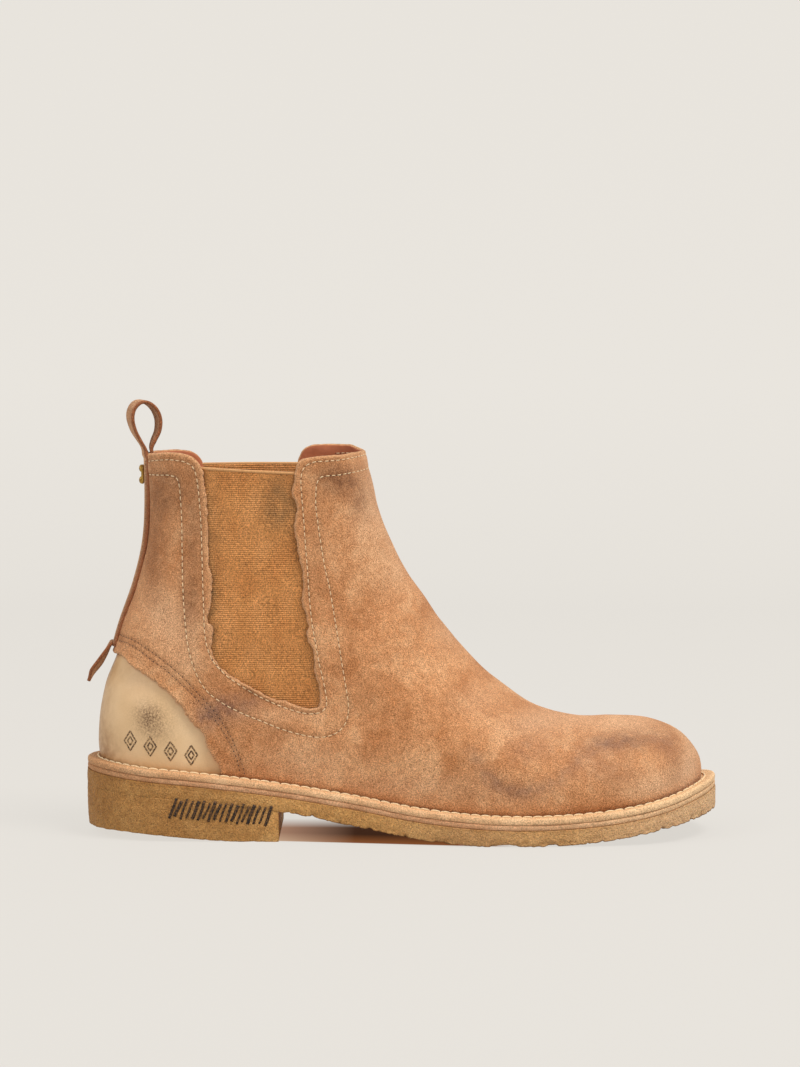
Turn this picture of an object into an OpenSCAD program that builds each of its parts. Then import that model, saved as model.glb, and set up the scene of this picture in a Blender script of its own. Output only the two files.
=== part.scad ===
// Suede chelsea boot for the right foot, on a crepe sole with a crepe heel.
// Frame: +X to the toe, +Y to the inner (medial) side, +Z up, and Z = 0 is the ground.
// The origin is on the ground under the middle of the sole. Every side-view line below is [x, z].

/* [Sole] */
// Length of the sole, from the back of the heel to the tip of the toe
sole_length = 300; // [270:1:320]
// How far the welt stands out from the upper
welt_ledge = 6.5; // [5:0.5:7.5]
// Thickness of the welt
welt_t = 3.2; // [2.8:0.1:3.6]
// Thickness of the leather midsole
midsole_t = 2.6; // [2:0.1:2.8]
// How far the back of the heel is worn up from the ground
heel_bevel = 4; // [2:0.5:5]

/* [Upper] */
// Width of the boot, as a share of the standard fitting
width_fit = 1; // [0.92:0.01:1.06]
// Thickness of the suede
suede_t = 1.8; // [1.4:0.1:1.9]
// Thickness of the elastic webbing in the gores
gore_t = 1.3; // [1:0.1:1.3]
// Thickness of the lining leather
lining_t = 1; // [0.8:0.1:1.1]

/* [Straps] */
// Width of the strip that covers the back seam
strip_w = 12; // [10:0.5:13]
// Width of the pull loop
loop_w = 13; // [10:0.5:14]
// Thickness of the loop and the tail
strap_t = 2; // [1.6:0.1:2.2]

/* [Hidden] */

long = sole_length / 300;   // every x in the lines below is for a 300 mm sole
glue = 0.05;                // a glue line between two stacked layers
clear = 0.15;               // the gap under the upper's lower edge
columns = 28;               // columns of the upper's grid from the back seam to the toe, on each side
rows = 18;                  // rows of that grid, from the welt to the topline
top_z = 186;                // height of the grid's last row, above the trimmed topline
heel_breast = -57.6;        // x of the heel's front face
far = 200;                  // larger than the boot, for trimming

// Depths of the hidden layers under the face of the suede
under = 0.3;                                // clearance between two nested layers
cap_d = suede_t + under;                    // the heel cap lies straight under the suede
cap_t = 1.2;
stiffener_d = cap_d + cap_t + under;
stiffener_t = 1.5;
gore_d = suede_t + under;
lining_d = gore_d + gore_t + under;
heel_lining_d = stiffener_d + stiffener_t + under;
puff_d = suede_t + under + 0.2;
puff_t = 0.9;

// Centre-line profiles of the upper: over the toe and up the instep, and up the back seam
front_profile = [
    [143.5, 26], [141.3, 37], [132, 47.9], [117, 53.9], [100, 55], [82, 55], [64, 60], [46, 72], [27.4, 90],
    [12.3, 110], [-1, 130], [-9.8, 150], [-13.9, 167], [-17.6, 186]
];
back_profile = [
    [-143.5, 36], [-144.2, 45], [-143.3, 58], [-140.7, 71], [-136.9, 86], [-133, 100], [-126.3, 119],
    [-121.8, 138], [-120.5, 158], [-121, 186]
];
// The line where the upper meets the welt, and the bottom of the crepe sole
seat_profile = [
    [-143.5, 36], [-120, 33.8], [-96, 31.6], [-58, 27.1], [-25, 22.1], [10, 16.3], [50, 13.3], [90, 14.8],
    [120, 19.5], [143.5, 26]
];
tread_profile = [
    [-160, 24], [-110, 20], [-58, 14.4], [-25, 8.5], [12, 2], [40, 0], [62, 0], [90, 1.6], [120, 6.2],
    [160, 14]
];
// Half-widths along the foot as [x, width], and up the leg as [z, width]
lateral_width = [
    [-143.5, 30], [-110, 31], [-60, 32], [-20, 36], [20, 44], [50, 47], [80, 46], [110, 42], [143.5, 34]
];
medial_width = [
    [-143.5, 30], [-110, 31], [-60, 29], [-20, 28], [20, 35], [50, 42], [80, 45], [110, 44], [143.5, 38]
];
leg_width = [[90, 32.5], [140, 31], [190, 31]];
// Depth over which the front and back round off, as [z, depth]
front_round = [[0, 34], [55, 38], [75, 46], [110, 50], [150, 40], [185, 28]];
back_round = [[0, 33], [45, 34], [80, 44], [120, 60], [185, 78]];

// Side-view lines of the panels
topline = [
    [-160, 179.2], [-126, 179.3], [-118, 180], [-110, 180.9], [-101, 180.2], [-96.5, 177.5], [-94.6, 172],
    [-92.6, 157], [-91.3, 140], [-90.2, 122], [-89.8, 105], [-88.8, 92], [-86, 83], [-79, 76.5], [-68, 70],
    [-57, 65.5], [-46, 62.3], [-40, 62.6], [-37.6, 66], [-38.6, 76], [-41, 90], [-43.6, 103], [-45.8, 118],
    [-47.5, 135], [-49, 150], [-49.8, 165], [-49.6, 173], [-47.4, 178.6], [-43, 181.3], [-35, 182],
    [-26, 182.4], [-18, 183.6], [20, 185]
];
cap_edge = [
    [-160, 87], [-136, 86.5], [-130, 84], [-124.6, 81], [-116.6, 75.5], [-110.4, 71], [-104, 64.7],
    [-97.8, 57], [-93, 50.5], [-90, 44], [-86.5, 38], [-84.4, 31], [-84, 10]
];
cap_hidden_edge = [
    [-160, 96], [-133, 96], [-120, 91.5], [-107, 82.8], [-96, 72], [-87, 61.8], [-82, 55], [-77, 46],
    [-73, 34], [-72, 10]
];
gore_hidden_edge = [
    [-105, 190], [-104.6, 174], [-104, 150], [-103, 120], [-100.5, 97], [-96, 84], [-90, 76], [-80, 66.5],
    [-68, 60.5], [-55, 55], [-42, 51], [-33, 52], [-28, 58], [-27, 68], [-30, 86], [-33, 106], [-36, 124],
    [-38.5, 142], [-40, 158], [-39.5, 174], [-39.5, 190]
];
stiffener_edge = [[-160, 88], [-134, 86], [-118, 78], [-104, 64], [-92, 48], [-85, 31], [-84, 10]];
puff_edge = [[78, 10], [80, 30], [88, 46], [92, 70]];
gore_top_z = 174;
lining_joint_x = -62;

// Side-view lines of the seams
edge_seam = [
    [-116, 177.4], [-108, 178.3], [-101, 177.3], [-97, 173], [-95, 160], [-93.8, 142], [-93, 122],
    [-92.3, 104], [-91, 92], [-87.7, 84], [-81.7, 78], [-68.1, 68.6], [-54.8, 62.7], [-42.8, 60],
    [-37.4, 61.2], [-35.1, 66.5], [-36.6, 76], [-39.4, 90], [-42, 104], [-43.6, 118], [-45, 138],
    [-46.3, 157], [-47, 171], [-44.8, 176], [-40, 178], [-30, 178.4], [-22, 179]
];
border_seam = [
    [-116, 170.5], [-108.5, 170.6], [-104.6, 167.5], [-103.6, 152], [-103, 132], [-102.4, 114],
    [-100.2, 92], [-97, 80.4], [-91.6, 71], [-83.8, 64.8], [-65.2, 56.3], [-49.6, 50.9], [-38, 49.2],
    [-30.3, 51.5], [-25.8, 57], [-25, 65.7], [-27.4, 82], [-30.6, 102], [-33.6, 119], [-37.4, 140],
    [-39.6, 157], [-39.7, 167], [-37.5, 170.6], [-30, 171.4], [-22, 172.6]
];
cap_seam_near = [
    [-129, 91.5], [-121.5, 87.5], [-110.3, 80.2], [-99.3, 70.2], [-90, 60.2], [-82.4, 50], [-76.6, 37]
];
cap_seam_far = [
    [-129, 93.8], [-120, 89.8], [-107, 80.9], [-96.5, 70.9], [-86.9, 60.2], [-79.6, 49], [-74, 35]
];

suede = "#c08a62";
leather = "#d2a878";
crepe = "#b98d4f";
webbing = "#a9763f";
thread = "#e2c9a0";
rust = "#a05a35";

// ---------- Curves ----------

// Point at s, from 0 to 1, on the smooth open curve through the points p
function curve_at(p, s) =
    let (m = len(p) - 1, k = min(floor(s * m), m - 1), f = s * m - k,
         b = p[k], c = p[k + 1],
         a = k == 0 ? 2 * b - c : p[k - 1],
         d = k == m - 1 ? 2 * c - b : p[k + 2])
    0.5 * (2 * b + (c - a) * f + (2 * a - 5 * b + 4 * c - d) * f * f + (3 * b - a - 3 * c + d) * f * f * f);
function curve(p, n) = [for (i = [0 : n]) curve_at(p, i / n)];
function lengths(p) =
    [for (i = 0, s = 0; i < len(p); s = s + (i < len(p) - 1 ? norm(p[i + 1] - p[i]) : 0), i = i + 1) s];
// The curve as two tables, x and z against the share of its length
function by_length(p) =
    let (s = lengths(p), total = s[len(s) - 1])
    [for (axis = [0, 1]) [for (i = [0 : len(p) - 1]) [s[i] / total, p[i][axis]]]];
function along(tables, t) = [lookup(t, tables[0]), lookup(t, tables[1])];
function segment_gap(q, a, b) =
    let (ab = b - a, t = max(0, min(1, ((q - a) * ab) / (ab * ab)))) norm(q - a - t * ab);
function gap_to(q, line) = min([for (i = [0 : len(line) - 2]) segment_gap(q, line[i], line[i + 1])]);
function ease(a, b, v) = let (t = max(0, min(1, (v - a) / (b - a)))) t * t * (3 - 2 * t);
function quarter_round(r) = let (k = 1 - min(r, 1)) sqrt(1 - k * k);

front_line = curve(front_profile, 52);
back_line = curve(back_profile, 27);
seat_line = curve(seat_profile, 40);
tread_line = [for (p = curve(tread_profile, 45)) [p[0], max(0, p[1])]];
lateral_line = curve(lateral_width, 40);
medial_line = curve(medial_width, 40);
front_by_length = by_length(front_line);
back_by_length = by_length(back_line);

// ---------- The surface of the suede ----------

// Half-width of the boot at the side-view point q; side is -1 for lateral and 1 for medial
function full_width(q, side) =
    let (foot = lookup(q[0], side < 0 ? lateral_line : medial_line),
         rise = max(0, min(1, (q[1] - lookup(q[0], seat_line)) / 40)),
         leg = lookup(q[1], leg_width),
         share = ease(40, 115, q[1]))
    width_fit * (foot * (1 + 0.045 * sin(180 * rise)) * (1 - share) + leg * share);
function rounding(q) =
    quarter_round(gap_to(q, front_line) / lookup(q[1], front_round))
    * quarter_round(gap_to(q, back_line) / lookup(q[1], back_round));
function skin(q, side) = [long * q[0], side * full_width(q, side) * rounding(q), q[1]];

// Side-view grid: u runs from the back seam to the toe and instep, t from the welt to the top
heel_end = seat_profile[0];
toe_end = seat_profile[len(seat_profile) - 1];
back_top = back_profile[len(back_profile) - 1];
front_top = front_profile[len(front_profile) - 1];
function side_point(u, t) =
    let (low_x = heel_end[0] + (toe_end[0] - heel_end[0]) * u,
         low = [low_x, lookup(low_x, seat_line)],
         high = (1 - u) * back_top + u * front_top,
         corners = (1 - t) * ((1 - u) * heel_end + u * toe_end) + t * high)
    (1 - t) * low + t * high + (1 - u) * along(back_by_length, t) + u * along(front_by_length, t) - corners;
function turn(i) = (1 - cos(180 * i / columns)) / 2;

// The grid's closed rings, from the back along the lateral side to the front and back along the medial side
function rings() =
    let (flat = [for (j = [0 : rows]) [for (i = [0 : columns])
             let (q = side_point(turn(i), j / rows), r = (i == 0 || i == columns) ? 0 : rounding(q))
             [long * q[0], r * full_width(q, -1), r * full_width(q, 1), q[1]]]])
    [for (row = flat) concat(
        [for (i = [0 : columns]) [row[i][0], -row[i][1], row[i][3]]],
        [for (i = [columns - 1 : -1 : 1]) [row[i][0], row[i][2], row[i][3]]])];

// Outward unit normals; the lowest ring's are level, so that every layer ends on the welt
function ring_normals(g) =
    let (n = 2 * columns)
    [for (j = [0 : rows]) [for (i = [0 : n - 1])
        let (across = g[j][(i + 1) % n] - g[j][(i + n - 1) % n],
             up = g[min(j + 1, rows)][i] - g[max(j - 1, 0)][i],
             v = j == 0 ? cross(across, [0, 0, 1]) : cross(across, up))
        v / norm(v)]];
function moved(g, v, d) =
    [for (j = [0 : rows]) for (i = [0 : 2 * columns - 1])
        g[j][i] - (is_num(d) ? d : lookup(g[j][i][2], d)) * v[j][i] + [0, 0, j == 0 ? clear : 0]];

// A closed layer of the upper, from depth d to depth d + t under the face; d may be a [z, depth] table
module layer(d, t) {
    g = rings();
    v = ring_normals(g);
    deeper = is_num(d) ? d + t : [for (p = d) [p[0], p[1] + t]];
    n = 2 * columns;
    inner = n * (rows + 1);
    polyhedron(
        concat(moved(g, v, d), moved(g, v, deeper)),
        concat(
            [for (j = [0 : rows - 1]) for (i = [0 : n - 1])
                let (k = (i + 1) % n) each quad(j * n + i, j * n + k, (j + 1) * n + k, (j + 1) * n + i)],
            [for (j = [0 : rows - 1]) for (i = [0 : n - 1])
                let (k = (i + 1) % n, o = inner)
                each quad(o + j * n + k, o + j * n + i, o + (j + 1) * n + i, o + (j + 1) * n + k)],
            [for (i = [0 : n - 1]) let (k = (i + 1) % n) each quad(inner + i, inner + k, k, i)],
            [for (i = [0 : n - 1])
                let (k = (i + 1) % n, o = rows * n) each quad(o + i, o + k, inner + o + k, inner + o + i)]));
}
function quad(a, b, c, d) = [[a, c, b], [a, d, c]];

// The space on one side of a side-view line, right through the boot: side 0 is both sides
module side_block(outline, side = 0) {
    y0 = side > 0 ? 0 : -far / 2;
    y1 = side < 0 ? 0 : far / 2;
    translate([0, y1, 0]) rotate([90, 0, 0]) linear_extrude(y1 - y0)
        polygon([for (p = outline) [long * p[0], p[1]]]);
}
module above_topline() { side_block(concat(curve(topline, 96), [[20, far], [-160, far]])); }
function below(edge) = concat(curve(edge, 30), [[-160, 10]]);

// One faceted solid: a curved layer trimmed in the side view (resize by zero leaves its size alone)
module trimmed() { resize([0, 0, 0]) children(); }

// ---------- Bottom: flat layers that follow the seat ----------

// Plan outline of the upper's lower edge, moved out by d
function plan(d) =
    let (g = [for (i = [0 : columns])
             let (u = turn(i), x = heel_end[0] + (toe_end[0] - heel_end[0]) * u, q = [x, lookup(x, seat_line)],
                  r = (i == 0 || i == columns) ? 0 : rounding(q))
             [long * x, r * full_width(q, -1), r * full_width(q, 1)]],
         loop = concat([for (i = [0 : columns]) [g[i][0], -g[i][1]]],
                       [for (i = [columns - 1 : -1 : 1]) [g[i][0], g[i][2]]]),
         n = len(loop))
    [for (i = [0 : n - 1])
        let (along = loop[(i + 1) % n] - loop[(i + n - 1) % n], out = [along[1], -along[0]] / norm(along))
        loop[i] + d * out];
seat_edge = concat([[-160, 37.4]], seat_line, [[160, 32]]);
// A slab between the seat lowered by a and by b
function seat_slab(a, b) = concat(
    [for (p = seat_edge) [p[0], p[1] - a]],
    [for (i = [len(seat_edge) - 1 : -1 : 0]) [seat_edge[i][0], seat_edge[i][1] - b]]);
module seat_layer(d, a, b) {
    intersection() {
        linear_extrude(far) polygon(plan(d));
        side_block(seat_slab(a, b));
    }
}
midsole_top = welt_t + glue;
crepe_top = midsole_top + midsole_t + glue;
board_t = 2.6;
footbed_t = 3;
welt_inner = -9;

module outsole() {
    color(crepe) intersection() {
        linear_extrude(far) polygon(plan(welt_ledge));
        side_block(concat(
            tread_line,
            [for (i = [len(seat_edge) - 1 : -1 : 0]) [seat_edge[i][0], seat_edge[i][1] - crepe_top]]));
    }
}
module heel_lift() {
    color(crepe) intersection() {
        linear_extrude(far) polygon(plan(welt_ledge));
        side_block(concat(
            [[-160, heel_bevel + 0.6], [-132, heel_bevel], [-86, 0], [heel_breast, 0]],
            [[heel_breast, lookup(heel_breast, tread_line) - glue]],
            [for (i = [len(tread_line) - 1 : -1 : 0])
                if (tread_line[i][0] < heel_breast - 1) [tread_line[i][0], tread_line[i][1] - glue]]));
    }
}
module midsole() { color(leather) seat_layer(welt_ledge - 0.3, midsole_top, midsole_top + midsole_t); }
module welt() {
    color(leather) difference() {
        seat_layer(welt_ledge - 0.3, 0, welt_t);
        translate([0, 0, -1]) linear_extrude(far) polygon(plan(welt_inner));
    }
}

// Lock stitches along the ledge of the welt, each a short round thread
stitch_pitch = 4.8;
stitch_r = 0.55;
module welt_stitches() {
    line = plan(1.6);
    path = concat(line, [line[0]]);
    s = lengths(path);
    count = floor(s[len(s) - 1] / stitch_pitch);
    tables = by_length(path);
    color(thread) for (i = [0 : count - 1]) {
        a = along(tables, (i + 0.08) / count);
        b = along(tables, (i + 0.86) / count);
        rod([a[0], a[1], lookup(a[0] / long, seat_edge) + 0.3],
            [b[0], b[1], lookup(b[0] / long, seat_edge) + 0.3], stitch_r);
    }
}
module rod(a, b, r) {
    v = b - a;
    translate(a) rotate([0, acos(v[2] / norm(v)), atan2(v[1], v[0])]) cylinder(h = norm(v), r = r, $fn = 24);
}

// Steel shank in a slot of the filler, from the heel to behind the ball
shank_half_w = 6.5;
shank_from = -100;
shank_to = 8;
module shank_space(grow) {
    intersection() {
        translate([long * shank_from - grow, -shank_half_w - grow, 0])
            cube([long * (shank_to - shank_from) + 2 * grow, 2 * (shank_half_w + grow), far]);
        side_block(seat_slab(0.9 - grow, 2.3 + grow));
    }
}
module shank() { color("silver") shank_space(0); }
module cork_filler() {
    color("tan") difference() {
        seat_layer(welt_inner - 0.2, 0, welt_t);
        shank_space(0.1);
    }
}
module insole_board() { color("peru") seat_layer(-7, -clear - board_t, -clear); }
module footbed() { color(rust) seat_layer(-9, -clear - board_t - footbed_t - 0.2, -clear - board_t - 0.2); }

// Nails driven down through the insole board into the heel, heads under the footbed
nail_r = 1.1;
nail_places = [[-128, 0], [-112, 15], [-112, -15], [-84, 15], [-84, -15]];
module heel_nails() {
    color("goldenrod") for (p = nail_places) {
        top = lookup(p[0] + 4, seat_line) + clear + board_t - 0.3;
        translate([long * p[0], p[1], 0]) {
            translate([0, 0, 9]) cylinder(h = top - 9, r = nail_r, $fn = 32);
            translate([0, 0, top - 1]) cylinder(h = 1, r = 2.4, $fn = 32);
        }
    }
}

// ---------- Upper ----------

module upper() {
    color(suede) trimmed() difference() {
        layer(0, suede_t);
        above_topline();
        side_block(below(cap_edge));
    }
}
module lining(part_outline, depth) {
    color(rust) trimmed() difference() {
        layer(depth, lining_t);
        above_topline();
        side_block(part_outline);
    }
}
module lining_front() {
    x = lining_joint_x + 0.1;
    lining([[-far, 0], [x, 0], [x, far], [-far, far]], lining_d);
}
module lining_rear() {
    x = lining_joint_x - 0.1;
    lining([[x, 0], [far, 0], [far, far], [x, far]], [[88, heel_lining_d], [108, lining_d]]);
}
module toe_puff() {
    color("beige") trimmed() intersection() {
        layer(puff_d, puff_t);
        side_block(concat(curve(puff_edge, 12), [[far, 70], [far, 10]]));
    }
}
module heel_cap() {
    color("#dcc08c") trimmed() intersection() {
        layer(cap_d, cap_t);
        side_block(below(cap_hidden_edge));
    }
}
module heel_stiffener() {
    color("beige") trimmed() intersection() {
        layer(stiffener_d, stiffener_t);
        side_block(below(stiffener_edge));
    }
}
module gore(side) {
    color(webbing) trimmed() intersection() {
        layer(gore_d, gore_t);
        side_block(curve(gore_hidden_edge, 60), side);
        translate([-far / 2, -far / 2, 0]) cube([far, far, gore_top_z]);
    }
}
module gore_lateral() { gore(-1); }
module gore_medial() { gore(1); }

// ---------- Seams ----------

// Point on the suede at the side-view point q, raised by h along the surface's normal
function raised(q, side, h) =
    let (step = 0.5,
         p = skin(q, side),
         dx = skin(q + [step, 0], side) - p,
         dz = skin(q + [0, step], side) - p,
         n = cross(dx, dz) * -side)
    p + h * n / norm(n);
thread_r = 0.35;
thread_sides = 4;
// A thin closed tube along the points p
module thread_line(p) {
    m = len(p);
    k = thread_sides;
    points = [for (i = [0 : m - 1])
        let (t = p[min(i + 1, m - 1)] - p[max(i - 1, 0)], a = cross(t, [0, 1, 0]), b = cross(t, a))
        for (j = [0 : k - 1])
            p[i] + thread_r * (cos(360 * j / k) * a / norm(a) + sin(360 * j / k) * b / norm(b))];
    polyhedron(points, concat(
        [[for (j = [0 : k - 1]) j]],
        [for (i = [0 : m - 2]) for (j = [0 : k - 1])
            let (l = (j + 1) % k) each quad(i * k + l, i * k + j, (i + 1) * k + j, (i + 1) * k + l)],
        [[for (j = [k - 1 : -1 : 0]) (m - 1) * k + j]]));
}
module seam(line, n, side) { thread_line([for (q = curve(line, n)) raised(q, side, 0.25)]); }
module gore_seams(side) {
    color(thread) {
        seam(edge_seam, 60, side);
        seam(border_seam, 56, side);
    }
}
module gore_seams_lateral() { gore_seams(-1); }
module gore_seams_medial() { gore_seams(1); }
module heel_cap_seams() {
    color("saddlebrown") for (side = [-1, 1]) {
        seam(cap_seam_near, 18, side);
        seam(cap_seam_far, 18, side);
    }
}

// ---------- Back strip, pull loop and tail ----------

strip_lift = 0.25;
strip_t = 1.6;
strip_low = 89;
strip_high = 178.2;
module back_strip() {
    color(suede) trimmed() intersection() {
        layer(-strip_lift - strip_t, strip_t);
        translate([-far, -strip_w / 2, strip_low]) cube([far / 2, strip_w, strip_high - strip_low]);
    }
}
// Two rows of thread near the strip's edges
module back_strip_seams() {
    inset = strip_w / 2 - 1.6;
    color(thread) for (side = [-1, 1]) thread_line([
        for (z = [strip_low + 3 : 5 : strip_high - 3])
            let (x = strip_face_x(z, inset)) [x - 0.3, side * inset, z]
    ]);
}
// x of the strip's outer face at height z and distance y from the back seam
function strip_face_x(z, y) =
    let (back = lookup((z - heel_end[1]) / (top_z - heel_end[1]), back_height),
         depth = y * y * lookup(z, back_round) / (2 * pow(width_fit * lookup(z, leg_width), 2)))
    long * back + depth - strip_lift - strip_t;
back_height = [for (p = back_line) [(p[1] - heel_end[1]) / (top_z - heel_end[1]), p[0]]];

plate_z = 171;
plate_h = 9;
plate_w = 4;
plate_t = 0.8;
plate_x = strip_face_x(plate_z, 0) - 0.1;
module brass_plate() {
    color("gold") translate([plate_x - plate_t, -plate_w / 2, plate_z - plate_h / 2])
        cube([plate_t, plate_w, plate_h]);
}
// Two domed rivets that hold the plate
module brass_rivets() {
    color("gold") for (dz = [-2.8, 2.8])
        translate([plate_x - plate_t + 0.2, 0, plate_z + dz]) rotate([0, 90, 0]) {
            intersection() {
                translate([0, 0, 0.6]) sphere(r = 1.7, $fn = 32);
                translate([-2, -2, -2]) cube([4, 4, 1.6]);
            }
            translate([0, 0, -0.6]) cylinder(h = 2.6, r = 0.6, $fn = 24);
        }
}

// The loop hinges where it leaves the topline, on a small rolled fold
loop_axis = [long * -119.4, 182.6];
fold_r = 1.5;
// Middle line of the loop, from the fold up the back strand, over the top and down the front strand
loop_line = [
    [-0.9, 1], [-4, 3.8], [-8.2, 9], [-9.8, 14.4], [-9.2, 18.6], [-6.2, 21.6], [-1.6, 21.5], [2.4, 18.4],
    [3.8, 13.8], [3.2, 8.4], [1.6, 3.8], [0.9, 1]
];
function beside(p, d) =
    [for (i = [0 : len(p) - 1])
        let (t = p[min(i + 1, len(p) - 1)] - p[max(i - 1, 0)]) p[i] + d * [t[1], -t[0]] / norm(t)];
function band(p, t) =
    let (a = beside(p, t / 2), b = beside(p, -t / 2)) concat(a, [for (i = [len(b) - 1 : -1 : 0]) b[i]]);
module pull_loop() {
    color(suede) translate([loop_axis[0], loop_w / 2, loop_axis[1]]) rotate([90, 0, 0]) {
        linear_extrude(loop_w) polygon(band(curve(loop_line, 44), strap_t));
        cylinder(h = loop_w, r = fold_r, $fn = 48);
    }
}
// The strip's free end, which hinges where its stitching stops
tail_axis = [long * -140.4, 87];
tail_line = [[0, 0], [-1.6, -3], [-4.4, -7.6], [-7, -12], [-8.2, -14.6]];
module strip_tail() {
    color(suede) translate([tail_axis[0], 0, tail_axis[1]]) rotate([90, 0, 0]) {
        translate([0, 0, -strip_w / 2 + 0.5]) {
            linear_extrude(strip_w - 1) polygon(band(curve(tail_line, 12), strap_t));
            cylinder(h = strip_w - 1, r = 1.1, $fn = 32);
        }
    }
}

outsole();
heel_lift();
midsole();
welt();
welt_stitches();
cork_filler();
shank();
insole_board();
heel_nails();
footbed();
upper();
lining_front();
lining_rear();
toe_puff();
heel_cap();
heel_stiffener();
gore_lateral();
gore_medial();
gore_seams_lateral();
gore_seams_medial();
heel_cap_seams();
back_strip();
back_strip_seams();
brass_plate();
brass_rivets();
pull_loop();
strip_tail();
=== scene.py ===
# A suede chelsea boot on a crepe sole: the looks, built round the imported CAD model.
# Lengths are in millimetres until a mesh is made; lamps are placed in metres. +X is the toe, -Y the outer
# (lateral) side, and the ground is at Z = 0.
import math

import bpy
import numpy as np
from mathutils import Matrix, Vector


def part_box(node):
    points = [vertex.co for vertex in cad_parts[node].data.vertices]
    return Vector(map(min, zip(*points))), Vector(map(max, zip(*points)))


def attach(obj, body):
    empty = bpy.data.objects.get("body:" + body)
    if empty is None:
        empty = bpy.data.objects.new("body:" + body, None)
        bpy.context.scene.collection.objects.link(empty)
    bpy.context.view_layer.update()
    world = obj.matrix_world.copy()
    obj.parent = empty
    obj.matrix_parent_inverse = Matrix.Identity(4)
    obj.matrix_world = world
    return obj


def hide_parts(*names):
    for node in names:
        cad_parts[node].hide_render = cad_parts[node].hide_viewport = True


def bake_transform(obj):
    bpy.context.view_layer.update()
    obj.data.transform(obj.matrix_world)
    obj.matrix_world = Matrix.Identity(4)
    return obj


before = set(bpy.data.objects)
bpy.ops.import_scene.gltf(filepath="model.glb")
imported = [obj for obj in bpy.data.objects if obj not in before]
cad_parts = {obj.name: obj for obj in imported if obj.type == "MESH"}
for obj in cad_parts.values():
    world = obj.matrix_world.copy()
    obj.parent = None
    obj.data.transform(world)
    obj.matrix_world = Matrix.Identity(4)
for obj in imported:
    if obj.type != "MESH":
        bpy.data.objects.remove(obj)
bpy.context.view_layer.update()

MM = 0.001
LATERAL, MEDIAL = -1, 1

# ---------- The shape of the boot, with the same lines as the CAD ----------

FRONT = [(143.5, 26), (141.3, 37), (132, 47.9), (117, 53.9), (100, 55), (82, 55), (64, 60), (46, 72),
         (27.4, 90), (12.3, 110), (-1, 130), (-9.8, 150), (-13.9, 167), (-17.6, 186)]
BACK = [(-143.5, 36), (-144.2, 45), (-143.3, 58), (-140.7, 71), (-136.9, 86), (-133, 100), (-126.3, 119),
        (-121.8, 138), (-120.5, 158), (-121, 186)]
SEAT = [(-143.5, 36), (-120, 33.8), (-96, 31.6), (-58, 27.1), (-25, 22.1), (10, 16.3), (50, 13.3),
        (90, 14.8), (120, 19.5), (143.5, 26)]
TREAD = [(-160, 24), (-110, 20), (-58, 14.4), (-25, 8.5), (12, 2), (40, 0), (62, 0), (90, 1.6), (120, 6.2),
         (160, 14)]
LATERAL_WIDTH = [(-143.5, 30), (-110, 31), (-60, 32), (-20, 36), (20, 44), (50, 47), (80, 46), (110, 42),
                 (143.5, 34)]
MEDIAL_WIDTH = [(-143.5, 30), (-110, 31), (-60, 29), (-20, 28), (20, 35), (50, 42), (80, 45), (110, 44),
                (143.5, 38)]
LEG_WIDTH = [(90, 32.5), (140, 31), (190, 31)]
FRONT_ROUND = [(0, 34), (55, 38), (75, 46), (110, 50), (150, 40), (185, 28)]
BACK_ROUND = [(0, 33), (45, 34), (80, 44), (120, 60), (185, 78)]

# Side-view edges. The raw edges wander, so they have a point for each turn that shows.
TOP_EDGE = [
    (-160, 179.2), (-126, 179.3), (-118, 180), (-110, 180.9), (-101, 180.2), (-96.4, 177.5), (-94, 173),
    (-93.2, 166), (-92.2, 157), (-91.6, 146), (-91, 131.6), (-89.4, 122), (-90, 112), (-91.2, 103),
    (-88.9, 100), (-89.6, 90.6), (-88, 84.5), (-83.1, 79.3), (-76.1, 74.6), (-68.1, 70.3), (-61.1, 66.4),
    (-55, 65.4), (-48.5, 63), (-43.8, 61.8), (-39.6, 62.5), (-37.6, 64.6), (-37.5, 69.1), (-38.4, 73.9),
    (-40.2, 79.9), (-40.7, 90), (-43.2, 94), (-43.9, 98.4), (-42.8, 102), (-44.6, 108.5), (-46.3, 114),
    (-45.4, 121), (-46, 128), (-47.1, 133), (-48.7, 142), (-49.3, 150), (-48.3, 157), (-50.5, 163.7),
    (-49.3, 170), (-49.2, 173.8), (-47.2, 178.8), (-43, 181.3), (-35, 182), (-26, 182.4), (-18, 183.6),
    (20, 185)]
CAP_EDGE = [(-160, 87), (-136, 86.4), (-130.4, 83.8), (-124.6, 81), (-116.6, 75.4), (-110.4, 71),
            (-104, 64.6), (-97.8, 57), (-93.1, 51.4), (-91.4, 46), (-88.4, 40.6), (-84.9, 34.4), (-84, 28),
            (-84, 10)]
CAP_UNDER = [(-160, 96), (-133, 96), (-120, 91.5), (-107, 82.8), (-96, 72), (-87, 61.8), (-82, 55),
             (-77, 46), (-73, 34), (-72, 10)]
GORE_UNDER = [(-105, 190), (-104.6, 174), (-104, 150), (-103, 120), (-100.5, 97), (-96, 84), (-90, 76),
              (-80, 66.5), (-68, 60.5), (-55, 55), (-42, 51), (-33, 52), (-28, 58), (-27, 68), (-30, 86),
              (-33, 106), (-36, 124), (-38.5, 142), (-40, 158), (-39.5, 174), (-39.5, 190)]
GORE_TOP = {LATERAL: [(-110, 174.9), (-36, 171.8)], MEDIAL: [(-110, 173.4), (-36, 172.9)]}
ABOVE_TOP, BELOW_CAP = [(20, 300), (-160, 300)], [(-160, 10)]

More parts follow.
